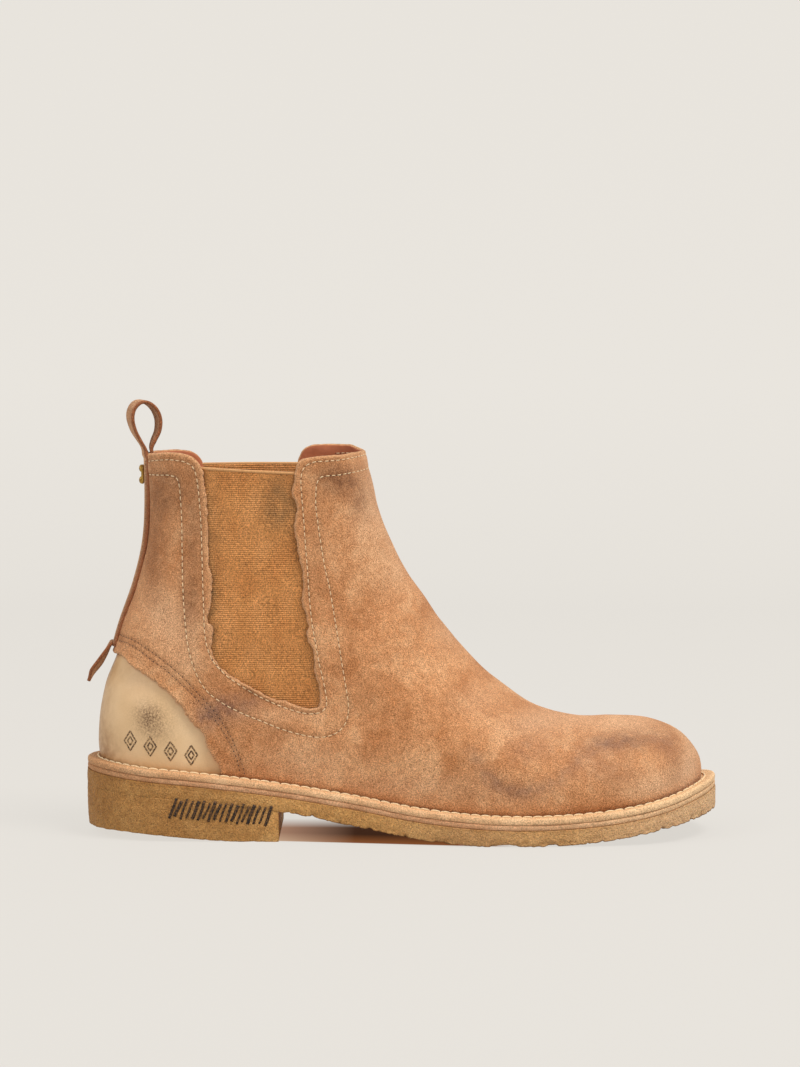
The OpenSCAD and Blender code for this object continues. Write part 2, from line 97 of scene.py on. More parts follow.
# Side-view lines of the seams, and the rows that carry on from two of them round the front
EDGE_SEAM = [
    (-119.6, 176.6), (-114, 177.6), (-108, 178), (-101, 177), (-96.8, 173), (-95, 160), (-93.9, 142),
    (-93.2, 122), (-92.7, 110), (-91.9, 96), (-89.7, 87.6), (-87.2, 83.2), (-81.7, 77.6), (-75.2, 73),
    (-68.1, 68.7), (-62.1, 65.8), (-54.8, 62.8), (-48.3, 60.8), (-42.8, 60), (-38, 60.8), (-35.6, 63),
    (-35.1, 67), (-36.6, 75.5), (-38.6, 84), (-40.2, 93), (-42, 103.5), (-43.3, 117.6), (-44, 128),
    (-45.1, 142), (-45.6, 150), (-46.4, 160), (-46.9, 170), (-45.3, 175.4), (-41, 177.8), (-36, 178.2),
    (-30, 178.4)]
BORDER_SEAM = [
    (-119.4, 170.3), (-114, 170.5), (-108.5, 170.6), (-104.8, 168), (-103.7, 155), (-103.1, 132),
    (-102.4, 114), (-101, 98), (-99.2, 88), (-96.4, 79.4), (-91.6, 71), (-83.8, 64.8), (-74.5, 60),
    (-65.2, 56.3), (-57.4, 53.2), (-49.6, 50.9), (-41.7, 49.3), (-35.7, 49.4), (-30.3, 51.4), (-26.6, 55.2),
    (-24.9, 60.6), (-25, 66), (-26.4, 74.6), (-28, 84.2), (-29.8, 96), (-31.7, 108), (-33.6, 119),
    (-35.8, 128.5), (-38, 141.9), (-39.2, 150.5), (-40, 158), (-39.6, 167), (-37.6, 170.6), (-34, 171.3),
    (-30, 171.4)]
CAP_SEAMS = [
    [(-133.5, 91.8), (-128.1, 90.9), (-121.5, 87.3), (-116.6, 83.9), (-110.3, 80), (-104, 74.4),
     (-99.3, 70.2), (-94.7, 65.6), (-90, 60.2), (-84.8, 53.4), (-80.8, 46.4), (-77.4, 39), (-76, 33)],
    [(-133.5, 94.4), (-126.5, 93), (-119.9, 89.7), (-113.4, 85.6), (-107.1, 81), (-100.9, 75.5),
     (-96.3, 70.4), (-91.6, 65.4), (-86.9, 60), (-82.2, 53), (-77.9, 44.6), (-74.4, 35), (-73.6, 31.5)]]
EDGE_ROW, BORDER_ROW = [(-30, 178.4), (-16, 179.9)], [(-30, 171.4), (-14, 173.4)]
SEAMS, ROWS = [EDGE_SEAM, BORDER_SEAM, *CAP_SEAMS], [EDGE_ROW, BORDER_ROW]

SUEDE_T, LINING_T, GORE_T, CAP_T = 1.8, 1.0, 1.3, 1.2
UNDER_SUEDE = SUEDE_T + 0.3      # the cap and the gores start this far under the face of the suede
WELT_T, MIDSOLE_T, GLUE = 3.2, 2.6, 0.05
LEDGE = 5.9                      # how far the sole stands out from the upper
HEEL_BREAST = -57.6


def stack(*columns):
    return np.stack(columns, -1)


def unit(v):
    return v / np.maximum(np.linalg.norm(v, axis=-1, keepdims=True), 1e-9)


def curve(points, count):
    """count + 1 points on the smooth open curve through points."""
    p = np.array(points, float)
    p = np.vstack([2 * p[0] - p[1], p, 2 * p[-1] - p[-2]])
    s = np.linspace(0, len(points) - 1, count + 1)
    k = np.minimum(s.astype(int), len(points) - 2)
    f = (s - k)[:, None]
    a, b, c, d = (p[k + i] for i in range(4))
    return 0.5 * (2 * b + (c - a) * f + (2 * a - 5 * b + 4 * c - d) * f**2 + (3 * b - a - 3 * c + d) * f**3)


def table(points, smooth=True):
    """A function that reads the second coordinate of a line off its first."""
    line = curve(points, 300) if smooth else np.array(points, float)
    return lambda v: np.interp(v, line[:, 0], line[:, 1])


def gap_to(x, z, line, count=0):
    """Distance from each side-view point to a line, or to the smooth curve of count pieces through it."""
    line = curve(line, count) if count else np.array(line, float)
    best = np.full(x.shape, np.inf)
    for (ax, az), (ux, uz) in zip(line[:-1], np.diff(line, axis=0)):
        px, pz = x - ax, z - az
        t = np.clip((px * ux + pz * uz) / (ux * ux + uz * uz), 0, 1)
        best = np.minimum(best, (px - t * ux) ** 2 + (pz - t * uz) ** 2)
    return np.sqrt(best)


def reach(x, z, line, corners):
    """Signed distance to a smooth edge, positive inside the loop that the corners close."""
    edge = curve(line, 6 * len(line))
    loop = np.vstack([edge, np.array(corners, float).reshape(-1, 2)])
    inside = np.zeros(x.shape, bool)
    for (ax, az), (bx, bz) in zip(loop, np.roll(loop, -1, axis=0)):
        if az != bz:
            inside ^= ((az > z) != (bz > z)) & (x < (bx - ax) * (z - az) / (bz - az) + ax)
    d = gap_to(x, z, edge)
    return np.where(inside, d, -d)


def ease(a, b, v):
    t = np.clip((v - a) / (b - a), 0, 1)
    return t * t * (3 - 2 * t)


def bump_at(d, width):
    """1 at distance 0, falling to nothing over about twice the width."""
    return np.exp(-((d / width) ** 2))


def blobs(x, z, *spots):
    """The sum of spots of (x, z, wide, tall, amount), each falling off over its two sizes."""
    return sum(amount * np.exp(-(((x - x0) / wide) ** 2 + ((z - z0) / tall) ** 2))
               for x0, z0, wide, tall, amount in spots)


def wobble(points, size, seed=0):
    """Smooth noise from -1 to 1 with lumps of about the given size, in one to three dimensions."""
    p = np.atleast_2d(points) / size + 11.7 * seed
    cell = np.floor(p).astype(np.int64)
    f = p - cell
    f = f * f * f * (f * (f * 6 - 15) + 10)
    total = np.zeros(len(p))
    primes = (73856093, 19349663, 83492791)
    for corner in np.ndindex(*(2,) * p.shape[1]):
        h = np.zeros(len(p), np.int64)
        weight = np.ones(len(p))
        for axis, c in enumerate(corner):
            h ^= (cell[:, axis] + c) * primes[axis]
            weight *= f[:, axis] if c else 1 - f[:, axis]
        h = (h ^ (h >> 13)) * 1274126177 & 0x7FFFFFFF
        h = (h ^ (h >> 16)) & 0xFFFF
        total += weight * (h / 32767.5 - 1)
    return total


def lengths(path):
    """Distance along a path of each of its points."""
    return np.concatenate([[0], np.cumsum(np.linalg.norm(np.diff(path, axis=0), axis=1))])


front_line, back_line = curve(FRONT, 91), curve(BACK, 54)
front_s, back_s = (lengths(line) / lengths(line)[-1] for line in (front_line, back_line))
seat_z, tread_z, lateral_w, medial_w = map(table, (SEAT, TREAD, LATERAL_WIDTH, MEDIAL_WIDTH))
leg_w, front_r, back_r = (table(t, False) for t in (LEG_WIDTH, FRONT_ROUND, BACK_ROUND))
HEEL_END, TOE_END = np.array(SEAT[0], float), np.array(SEAT[-1], float)
BACK_TOP, FRONT_TOP = np.array(BACK[-1], float), np.array(FRONT[-1], float)


def half_width(x, z, side):
    """Half-width of the boot on one side at a side-view point."""
    foot = np.where(side < 0, lateral_w(x), medial_w(x))
    foot = foot * (1 + 0.045 * np.sin(np.pi * np.clip((z - seat_z(x)) / 40, 0, 1)))
    share = ease(40, 115, z)
    width = foot * (1 - share) + leg_w(z) * share
    for line, radius in ((front_line, front_r), (back_line, back_r)):
        width = width * np.sqrt(1 - (1 - np.minimum(gap_to(x, z, line) / radius(z), 1)) ** 2)
    return width


def side_point(u, t):
    """Side-view point for a share u from the back to the front and t from the welt to the top."""
    low_x = HEEL_END[0] + (TOE_END[0] - HEEL_END[0]) * u
    low = stack(low_x, seat_z(low_x))
    back, front = (stack(*(np.interp(t, s, line[:, k]) for k in (0, 1)))
                   for s, line in ((back_s, back_line), (front_s, front_line)))
    u, t = u[:, None], t[:, None]
    high = (1 - u) * BACK_TOP + u * FRONT_TOP
    corners = (1 - t) * ((1 - u) * HEEL_END + u * TOE_END) + t * high
    return (1 - t) * low + t * high + (1 - u) * back + u * front - corners


def side_view(turn, t):
    """Side-view point at a turn: 0 at the back, pi at the front, and back to 2 pi on the medial side."""
    return side_point((1 - np.cos(turn)) / 2, t)


def side_of(turn):
    return np.where(np.sin(turn) >= 0, LATERAL, MEDIAL)


def place(turn, t):
    """Points on the face of the suede, before its relief."""
    x, z = side_view(turn, t).T
    side = side_of(turn)
    return stack(x, side * half_width(x, z, side), z)


def face(turn, t, step=0.004):
    """Points and outward normals of that face."""
    low, high = np.clip(t - step, 0, 1), np.clip(t + step, 0, 1)
    n = np.cross(place(turn + step, t) - place(turn - step, t), place(turn, high) - place(turn, low))
    return place(turn, t), unit(n)


def locate(x, z, side):
    """Turn and t of side-view points, by Newton's method with its steps cut to 0.8."""
    u = np.where(z > 60, (x + 140) / 150, (x - HEEL_END[0]) / (TOE_END[0] - HEEL_END[0]))
    t = np.clip((z - 25) / 160, 0.02, 0.98)
    step = 1e-4
    for _ in range(25):
        u, t = np.clip(u, 0.0005, 0.9995), np.clip(t, 0, 1 - step)
        q = side_point(u, t)
        du, dt = (side_point(u + step, t) - q) / step, (side_point(u, t + step) - q) / step
        r = stack(x, z) - q
        det = du[:, 0] * dt[:, 1] - du[:, 1] * dt[:, 0]
        u = u + 0.8 * (r[:, 0] * dt[:, 1] - r[:, 1] * dt[:, 0]) / det
        t = t + 0.8 * (du[:, 0] * r[:, 1] - du[:, 1] * r[:, 0]) / det
    turn = np.arccos(1 - 2 * np.clip(u, 0, 1))
    return np.where(side < 0, turn, 2 * np.pi - turn), np.clip(t, 0, 1)


# ---------- Edges and relief of the suede ----------

# Soft folds and dents in the side view: points, depth, width, and the sides that have them
BALL_CREASE = [(33, 43.6), (38, 35.8), (42, 30.4), (48.6, 27), (56.5, 25), (65, 27.4), (74, 30.8),
               (79, 35.6), (85.5, 41.6), (95, 45.6), (106, 47.2), (118, 47.8), (126, 46)]
FOLDS = [
    (BALL_CREASE, 0.9, 5.5, (LATERAL,)),
    ([(30, 46), (40, 33), (54, 27), (70, 32), (84, 42), (100, 47)], 0.9, 6, (MEDIAL,)),
    ([(-2, 118), (-14, 104), (-22, 92), (-24, 80)], 0.8, 6, (LATERAL, MEDIAL)),
    ([(14, 100), (2, 88), (-8, 72), (-16, 58)], 0.7, 7, (LATERAL, MEDIAL)),
    ([(-124, 112), (-114, 104), (-106, 100)], 0.5, 6, (LATERAL, MEDIAL)),
    ([(38, 74), (26, 62), (18, 46)], 0.6, 7, (LATERAL, MEDIAL)),
]


def top_reach(x, z, side):
    """Signed distance under the topline. It dips at the front, and the two sides differ a little."""
    front = ease(-26, -16.5, x)
    rear = 0.8 * ease(-120, -112, x) * ease(-80, -90, x)
    dip = np.where(side < 0, 1.9 * ease(-50, -43, x) + 0.6 * front, 2.5 * front + rear) * ease(160, 174, z)
    shorter = 1.4 * (side > 0) * ease(-76, -84, x) * ease(140, 165, z)
    return -reach(x + shorter, z + dip, TOP_EDGE, ABOVE_TOP)


def suede_reach(x, z, side):
    """Signed distance inside the suede: under the topline, outside the gores and the heel cut-out."""
    p = stack(x, z, 30 * side)
    ragged = 0.45 * wobble(p, 2.4, 3) + 0.25 * wobble(p, 6, 5) + 0.3 * wobble(p, 1.1, 8)
    top = top_reach(x, z, side)
    cap = -reach(x, z, CAP_EDGE, BELOW_CAP)
    calm = (1 - ease(172, 177, z) * 0.75) * (1 + 0.5 * (cap < top))
    return np.minimum(top, cap) + ragged * calm


def relief(x, z, side):
    """Height of the suede over the smooth last: folds, hollows and the pull of the seams."""
    p = stack(x, z, 60 * side)
    h = 0.45 * wobble(p, 34, 1) + 0.22 * wobble(p, 13, 2) + 0.06 * wobble(p, 4, 4)
    for points, depth, width, sides in FOLDS:
        h = h - np.isin(side, sides) * depth * bump_at(gap_to(x, z, points, 30), width)
    for line, count in zip(SEAMS + ROWS, (70, 70, 24, 24, 0, 0)):
        h = h - 0.3 * bump_at(gap_to(x, z, line, count), 0.9)
    return h


def edge_lift(x, z, side, d):
    """The free raw edge beyond its seam curls up here and there."""
    amount = np.clip(0.35 + 0.65 * wobble(stack(x, z, 30 * side), 9, 7), 0, 1.2)
    return amount * (1 - 0.8 * ease(170, 177, z)) * np.clip(1 - d / 3.0, 0, 1) ** 2


def finished(turn, t):
    """Points and normals on the finished face of the suede."""
    p, n = face(turn, t)
    where = p[:, 0], p[:, 2], side_of(turn)
    h = relief(*where) + edge_lift(*where, np.maximum(suede_reach(*where), 0))
    return p + n * h[:, None], n


# ---------- Meshes ----------

def make_piece(name, points, polys, materials, body="boot", replaces=(), slot=None, values=None, pick=None):
    """A smooth mesh object from millimetre points and arrays of faces; values are point attributes.

    The slot argument is not used.
    """
    mesh = bpy.data.meshes.new(name)
    polys = [np.asarray(p, np.int32) for p in polys if len(p)]
    loops = np.concatenate([p.ravel() for p in polys])
    sizes = np.concatenate([np.full(len(p), p.shape[1], np.int32) for p in polys])
    mesh.vertices.add(len(points))
    mesh.vertices.foreach_set("co", (np.asarray(points, float) * MM).ravel())
    mesh.loops.add(len(loops))
    mesh.loops.foreach_set("vertex_index", loops)
    mesh.polygons.add(len(sizes))
    mesh.polygons.foreach_set("loop_start", np.concatenate([[0], np.cumsum(sizes)[:-1]]).astype(np.int32))
    mesh.polygons.foreach_set("use_smooth", np.ones(len(sizes), bool))
    for m in materials:
        mesh.materials.append(m)
    if pick is not None:
        mesh.polygons.foreach_set("material_index", np.concatenate(pick).astype(np.int32))
    for key, v in (values or {}).items():
        mesh.attributes.new(key, "FLOAT", "POINT").data.foreach_set("value", np.asarray(v, np.float32))
    mesh.update(calc_edges=True)
    mesh.validate()
    piece = bpy.data.objects.new(name, mesh)
    bpy.context.scene.collection.objects.link(piece)
    if replaces:
        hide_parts(*replaces)
    if body:
        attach(piece, body)
    return piece


class Heap:
    """Collects small closed bodies into the arrays of one mesh."""

    def __init__(self):
        self.points, self.faces, self.kinds, self.count = [], {}, {}, 0

    def body(self, points, *groups, kind=0):
        for faces in groups:
            faces = np.asarray(faces) + self.count
            self.faces.setdefault(faces.shape[1], []).append(faces)
            self.kinds.setdefault(faces.shape[1], []).append(np.full(len(faces), kind))
        self.points.append(points)
        self.count += len(points)

    def piece(self, name, materials, **words):
        polys, pick = ([np.concatenate(v) for v in d.values()] for d in (self.faces, self.kinds))
        return make_piece(name, np.concatenate(self.points), polys, materials, pick=pick, **words)


def grid_faces(rows, columns, flip=False):
    """Quads of a grid of points."""
    i = (np.arange(rows - 1)[:, None] * columns + np.arange(columns - 1)).ravel()
    quads = stack(i, i + 1, i + columns + 1, i + columns)
    return quads[:, ::-1] if flip else quads


def sides_of(tri):
    """Every side of every triangle, each different side once, and which of those each triangle has."""
    every = np.concatenate([tri[:, [0, 1]], tri[:, [1, 2]], tri[:, [2, 0]]])
    unique, index = np.unique(np.sort(every, axis=1), axis=0, return_inverse=True)
    return every, unique, index.reshape(3, -1).T


def refine(p, tri, wanted):
    """Halves every side that is wanted, and cuts the triangles to suit."""
    _, unique, index = sides_of(tri)
    cut = wanted(p[unique].mean(1))
    new = np.full(len(unique), -1)
    new[cut] = len(p) + np.arange(cut.sum())
    p = np.vstack([p, p[unique[cut]].mean(1)])
    m = new[index]
    count = (m >= 0).sum(1)
    a, b, c = tri[count == 3].T
    ab, bc, ca = m[count == 3].T
    parts = [tri[count == 0], stack(a, ab, ca), stack(ab, b, bc), stack(ca, bc, c), stack(ab, bc, ca)]
    for k in range(3):
        turned, halves = np.roll(tri, -k, axis=1), np.roll(m, -k, axis=1)
        one = (count == 1) & (halves[:, 0] >= 0)
        a, b, c = turned[one].T
        ab = halves[one, 0]
        parts += [stack(a, ab, c), stack(ab, b, c)]
        two = (count == 2) & (halves[:, 2] < 0)
        a, b, c = turned[two].T
        ab, bc = halves[two, 0], halves[two, 1]
        parts += [stack(ab, b, bc), stack(a, ab, bc), stack(a, bc, c)]
    return p, np.concatenate(parts)


def trim(p, tri, signed):
    """Keeps the part where signed is positive, with its edge moved onto the zero line."""
    s = signed(p)
    _, unique, _ = sides_of(tri)
    a, b = unique[(s[unique[:, 0]] * s[unique[:, 1]]) < 0].T
    f = s[a] / (s[a] - s[b])
    order = np.argsort(-np.minimum(f, 1 - f))
    a, b, f = a[order], b[order], f[order]
    near, far, share = np.where(f < 0.5, a, b), np.where(f < 0.5, b, a), np.minimum(f, 1 - f)
    moved = p[near] + share[:, None] * (p[far] - p[near])
    p, s = p.copy(), s.copy()
    p[near] = moved
    s[near] = 0
    tri = tri[(s[tri] >= 0).all(1) & (s[tri].max(1) > 1e-9)]
    used = np.unique(tri)
    back = np.full(len(p), -1)
    back[used] = np.arange(len(used))
    return p[used], back[tri]


def on_grid(signed):
    """The same function of a place in the side view, for points that are a turn and a t."""
    def at(q):
        x, z = side_view(q[:, 0], q[:, 1]).T
        return signed(x, z, side_of(q[:, 0]))
    return at


def panel(turns, cells, rows, signed, height, thickness, fine=(), top=1.0):
    """A trimmed layer of the upper, with each point's x, z, side, edge distance and face (1 outer, 0 inner).

    signed(x, z, side) is positive inside its edge. height(x, z, side, edge distance) is how far it lies over
    the smooth face of the suede. The mesh is made finer at each (distance function, width) of fine.
    """
    i, j = np.meshgrid(np.linspace(*turns, cells + 1), np.linspace(0, top, rows + 1))
    p = stack(i.ravel(), j.ravel())
    corner, right, far, up = grid_faces(rows + 1, cells + 1).T
    tri = np.concatenate([stack(corner, right, far), stack(corner, far, up)])
    for distance, width in fine:
        p, tri = refine(p, tri, lambda q: np.abs(on_grid(distance)(q)) < width)
    p, tri = trim(p, tri, on_grid(signed))
    (base, normal), side = face(*p.T), side_of(p[:, 0])
    x, z = base[:, 0].copy(), base[:, 2].copy()
    base[:, 2] -= np.where(p[:, 1] < 1e-6, 1.0, 0)
    d = np.maximum(on_grid(signed)(p), 0)
    every, unique, index = sides_of(tri)
    rim = every[np.bincount(index.T.ravel(), minlength=len(unique))[index.T.ravel()] == 1]
    on_rim = np.zeros(len(p), bool)
    on_rim[rim] = True
    h = height(x, z, side, d) - on_rim * min(0.25, thickness / 4)
    outer = base + normal * h[:, None]
    inner = base + normal * (h - thickness + on_rim * min(0.5, thickness / 2))[:, None]
    away = np.zeros_like(base)
    for k in (0, 1):
        np.add.at(away, rim[:, k], np.cross(outer[rim[:, 1]] - outer[rim[:, 0]], normal[rim[:, k]]))
    rims = np.flatnonzero(on_rim)
    lip = (outer[rims] + inner[rims]) / 2 + unit(away)[rims] * 0.35 * min(thickness, 1.8)
    n = len(p)
    lip_at = np.full(n, -1)
    lip_at[rims] = 2 * n + np.arange(len(rims))
    a, b = rim.T
    walls = np.concatenate([stack(b, a, lip_at[a], lip_at[b]), stack(lip_at[b], lip_at[a], a + n, b + n)])
    facts = [np.concatenate([v, v, v[rims]]) for v in (x, z, side, d)]
    facts.append(np.concatenate([np.ones(n), np.zeros(n), np.full(len(rims), 0.5)]))
    return np.vstack([outer, inner, lip]), [np.concatenate([tri, tri[:, ::-1] + n]), walls], facts


# ---------- Materials ----------

def linear(colour):
    """A screen colour, from 0 to 255, as linear light; a socket stays as it is."""
    if isinstance(colour, bpy.types.NodeSocket):
        return colour
    c = np.array(colour) / 255
    c = np.where(c <= 0.04045, c / 12.92, ((c + 0.055) / 1.055) ** 2.4)
    return (*c.tolist(), 1.0)


class Paint:
    """Short spellings for the node tree of one material. Colours are screen colours or sockets."""

    def __init__(self, name, rough=0.8, **shader):
        self.material = bpy.data.materials.new(name)
        self.material.use_nodes = True
        self.tree = self.material.node_tree
        self.shader = self.tree.nodes["Principled BSDF"]
        self.place = self.node("ShaderNodeTexCoord").outputs["Object"]
        self.set(Roughness=rough, **shader)

    def set(self, **sockets):
        for key, value in sockets.items():
            self.fill(self.shader.inputs[key.replace("_", " ")], value)

    def fill(self, socket, value):
        if isinstance(value, bpy.types.NodeSocket):
            self.tree.links.new(value, socket)
        else:
            socket.default_value = value

    def node(self, kind, inputs=None, **settings):
        n = self.tree.nodes.new(kind)
        for key, value in settings.items():
            setattr(n, key, value)
        for key, value in (inputs or {}).items():
            self.fill(n.inputs[key], value)
        return n

    def noise(self, size, detail=2.0, stretch=(1, 1, 1), rough=0.5, twist=0.0):
        """Noise with lumps of about size millimetres."""
        vector = self.place
        if stretch != (1, 1, 1):
            vector = self.node("ShaderNodeMapping", {"Vector": vector, "Scale": stretch}).outputs[0]
        return self.node("ShaderNodeTexNoise", {"Vector": vector, "Scale": 1 / (size * MM), "Detail": detail,
                                                "Roughness": rough, "Distortion": twist}).outputs[0]

    def cells(self, size):
        n = self.node("ShaderNodeTexVoronoi", {"Vector": self.place, "Scale": 1 / (size * MM)}, feature="F1")
        return n.outputs["Distance"]

    def ribs(self, size, twist, twist_size=5):
        """Even level ribs, from 0 to 1. At scale 1 Blender's wave has 10 / pi of them to a unit."""
        inputs = {"Vector": self.place, "Scale": 1 / (size * MM) / (10 / math.pi), "Distortion": twist,
                  "Detail": 1.0, "Detail Scale": size / twist_size}
        n = self.node("ShaderNodeTexWave", inputs, wave_type="BANDS", bands_direction="Z", wave_profile="SIN")
        return n.outputs["Fac"]

    def value(self, name):
        return self.node("ShaderNodeAttribute", attribute_name=name).outputs["Fac"]

    def axis(self, name):
        return self.node("ShaderNodeSeparateXYZ", {"Vector": self.place}).outputs[name]

    def plus(self, a, b):
        return self.node("ShaderNodeMath", {0: a, 1: b}, operation="ADD").outputs[0]

    def times(self, a, b, clamp=False):
        return self.node("ShaderNodeMath", {0: a, 1: b}, operation="MULTIPLY", use_clamp=clamp).outputs[0]

    def span(self, v, low, high, out_low=0.0, out_high=1.0):
        """v from low to high becomes out_low to out_high, and no further."""
        ends = {"From Min": low, "From Max": high, "To Min": out_low, "To Max": out_high}
        return self.node("ShaderNodeMapRange", {"Value": v, **ends}).outputs["Result"]

    def span_mm(self, v, low, high, *ends):
        return self.span(v, low * MM, high * MM, *ends)

    def mid(self, v, *ends):
        """The middle of a noise's range, where nearly all of it lies, spread over the ends."""
        return self.span(v, 0.3, 0.7, *ends)

    def mix(self, share, a, b, blend="MIX"):
        return self.node("ShaderNodeMix", {0: share, 6: linear(a), 7: linear(b)}, data_type="RGBA",
                         blend_type=blend, clamp_factor=True).outputs[2]

    def ramp(self, v, low, high, *colours):
        """The colours one after another as v goes from low to high."""
        n = self.node("ShaderNodeValToRGB", {"Fac": v})
        elements = n.color_ramp.elements
        while len(elements) < len(colours):
            elements.new(0.5)
        for element, position, colour in zip(elements, np.linspace(low, high, len(colours)), colours):
            element.position, element.color = position, linear(colour)
        return n.outputs["Color"]

    def raised(self, height, share, other):
        """The height, and a share of the other one on top."""
        return self.plus(height, self.times(other, share))

    def both(self, a, share, b):
        """The share of a, and the rest of b."""
        return self.plus(self.times(a, share), self.times(b, 1 - share))

    def shade(self, colour, v, low, high, warmth=0.0):
        """colour times low to high as v goes from 0 to 1. warmth reddens the dark and cools the light."""
        red, green, blue = (self.span(v, 0, 1, low + k * warmth, high - k * warmth) for k in (1, 0, -1))
        grey = self.node("ShaderNodeCombineColor", {"Red": red, "Green": green, "Blue": blue}).outputs[0]
        return self.mix(1.0, colour, grey, "MULTIPLY")

    def patches(self, colour, name, other, size, low, high):
        """other over colour where the attribute says, in patches of about size millimetres."""
        share = self.times(self.value(name), self.mid(self.noise(size, 3), low, high), clamp=True)
        return self.mix(share, colour, other)

    def heel_to_toe_tone(self, colour):
        """Browner towards the heel and paler towards the toe."""
        x = self.axis("X")
        colour = self.mix(self.span_mm(x, -85, -135, 0, 0.6), colour, (176, 124, 80))
        return self.mix(self.span_mm(x, 30, 135, 0, 0.6), colour, (236, 200, 154))

    def bump(self, depth, height):
        """A relief of depth millimetres."""
        inputs = {"Height": height, "Distance": depth * MM, "Strength": 1.0}
        self.set(Normal=self.node("ShaderNodeBump", inputs).outputs[0])


def suede(name, dark, mid, light, raw):
    """Brushed suede: cloudy, speckled by its nap, paler and smudged where the attributes say; these carry
    painted light and painted shade too.
    """
    p = Paint(name, rough=0.95, Sheen_Weight=0.35, Sheen_Roughness=0.5, Sheen_Tint=linear((255, 226, 200)),
              Specular_IOR_Level=0.15)
    clouds, nap = p.noise(24, 3, rough=0.55, twist=0.6), p.noise(0.5, 2, rough=0.75)
    hairs = p.noise(1.3, 2, (1, 1, 0.6), 0.6)
    tone = p.both(clouds, 0.62, p.noise(7, 3, rough=0.6, twist=0.4))
    colour = p.ramp(tone, 0.37, 0.63, dark, mid, light)
    # Paler suede, and painted light low over the welt
    colour = p.mix(p.times(p.value("pale_and_painted_light"), 0.75, clamp=True), colour, (227, 183, 144))
    # Smudges, and painted shade in the corner just above the welt
    colour = p.patches(colour, "smudge_and_shade", (124, 78, 48), 4.5, 0.6, 1.25)
    # Dirt, and painted shade in the ball's fold
    colour = p.patches(colour, "grime_and_shade", (124, 90, 78), 3.5, 0.5, 1.3)
    colour = p.mix(p.value("raw"), colour, raw)
    colour = p.shade(colour, p.mid(nap), 0.35, 1.65, 0.08)
    p.set(Base_Color=p.shade(colour, p.mid(hairs), 0.9, 1.1))
    p.bump(0.55, p.raised(nap, 0.6, hairs))
    return p.material


def leather(name, colour, dark, rough=0.5, grain=0.7, depth=0.06, cloud=16, contrast=0.25):
    """Smooth leather with pores and soft clouds."""
    p = Paint(name, rough=rough, Specular_IOR_Level=0.4)
    colour = p.mix(p.span(p.noise(cloud, 3, rough=0.55), 0.35, 0.65), colour, dark)
    fine = p.noise(grain, 3, rough=0.7)
    p.set(Base_Color=p.shade(colour, fine, 1 - contrast, 1 + contrast),
          Roughness=p.mid(fine, rough - 0.08, min(rough + 0.1, 1)))
    p.bump(depth, p.raised(fine, 0.6, p.cells(grain * 1.3)))
    return p.material


def welt_leather():
    """Undyed leather, layered along its edge."""
    p = Paint("welt_leather", rough=0.7, Specular_IOR_Level=0.3)
    layers, fuzz = p.noise(1.2, 2, (0.16, 0.16, 1.4), 0.6), p.noise(0.7, 2, (1, 1, 1.3), 0.7)
    tone = p.both(layers, 0.12, p.noise(12, 3))
    colour = p.ramp(tone, 0.35, 0.65, (210, 160, 114), (222, 175, 129), (233, 190, 145))
    p.set(Base_Color=p.shade(p.heel_to_toe_tone(colour), p.mid(fuzz), 0.55, 1.45))
    p.bump(0.4, p.raised(fuzz, 0.15, layers))
    return p.material


def midsole_leather():
    p = Paint("midsole_leather", rough=0.75, Specular_IOR_Level=0.25)
    layers, fuzz = p.noise(1.0, 2, (0.14, 0.14, 1.4), 0.6), p.noise(0.65, 2, rough=0.7)
    tone = p.both(layers, 0.3, p.noise(11, 3))
    colour = p.ramp(tone, 0.35, 0.65, (192, 140, 100), (207, 156, 115), (220, 172, 131))
    p.set(Base_Color=p.shade(p.heel_to_toe_tone(colour), p.mid(fuzz), 0.6, 1.4))
    p.bump(0.4, p.raised(fuzz, 0.4, layers))
    return p.material


def crepe_rubber():
    """Natural crepe: honey-brown and slightly see-through, finely pitted, darker and dustier at the heel,
    with a painted contact shadow along its lowest edge.
    """
    p = Paint("crepe_rubber", rough=0.65, Specular_IOR_Level=0.3, Subsurface_Weight=0.1,
              Subsurface_Scale=0.002, Subsurface_Radius=(1.0, 0.55, 0.25))
    patch, pits = p.noise(2.6, 3, rough=0.6), p.cells(0.9)
    tone = p.both(p.noise(15, 3, rough=0.55, twist=0.5), 0.6, patch)
    colour = p.ramp(tone, 0.32, 0.68, (187, 134, 74), (203, 151, 88), (217, 169, 106))
    colour = p.mix(p.value("toe"), colour, (226, 186, 144))
    colour = p.patches(colour, "dust", (156, 108, 54), 5, 0.7, 1.15)
    colour = p.shade(colour, p.span(pits, 0.0, 0.4), 0.88, 1.04)
    colour = p.shade(colour, p.mid(p.noise(0.6, 2, (1, 1, 0.6), 0.75)), 0.66, 1.34)
    # rim: a painted contact shadow, a dark orange line along the crepe's lowest edge
    p.set(Base_Color=p.mix(p.value("rim"), colour, (112, 66, 28)), Roughness=p.mid(patch, 0.55, 0.75))
    p.bump(0.35, p.plus(p.span(pits, 0, 0.5), p.noise(0.8, 3, rough=0.7)))
    return p.material


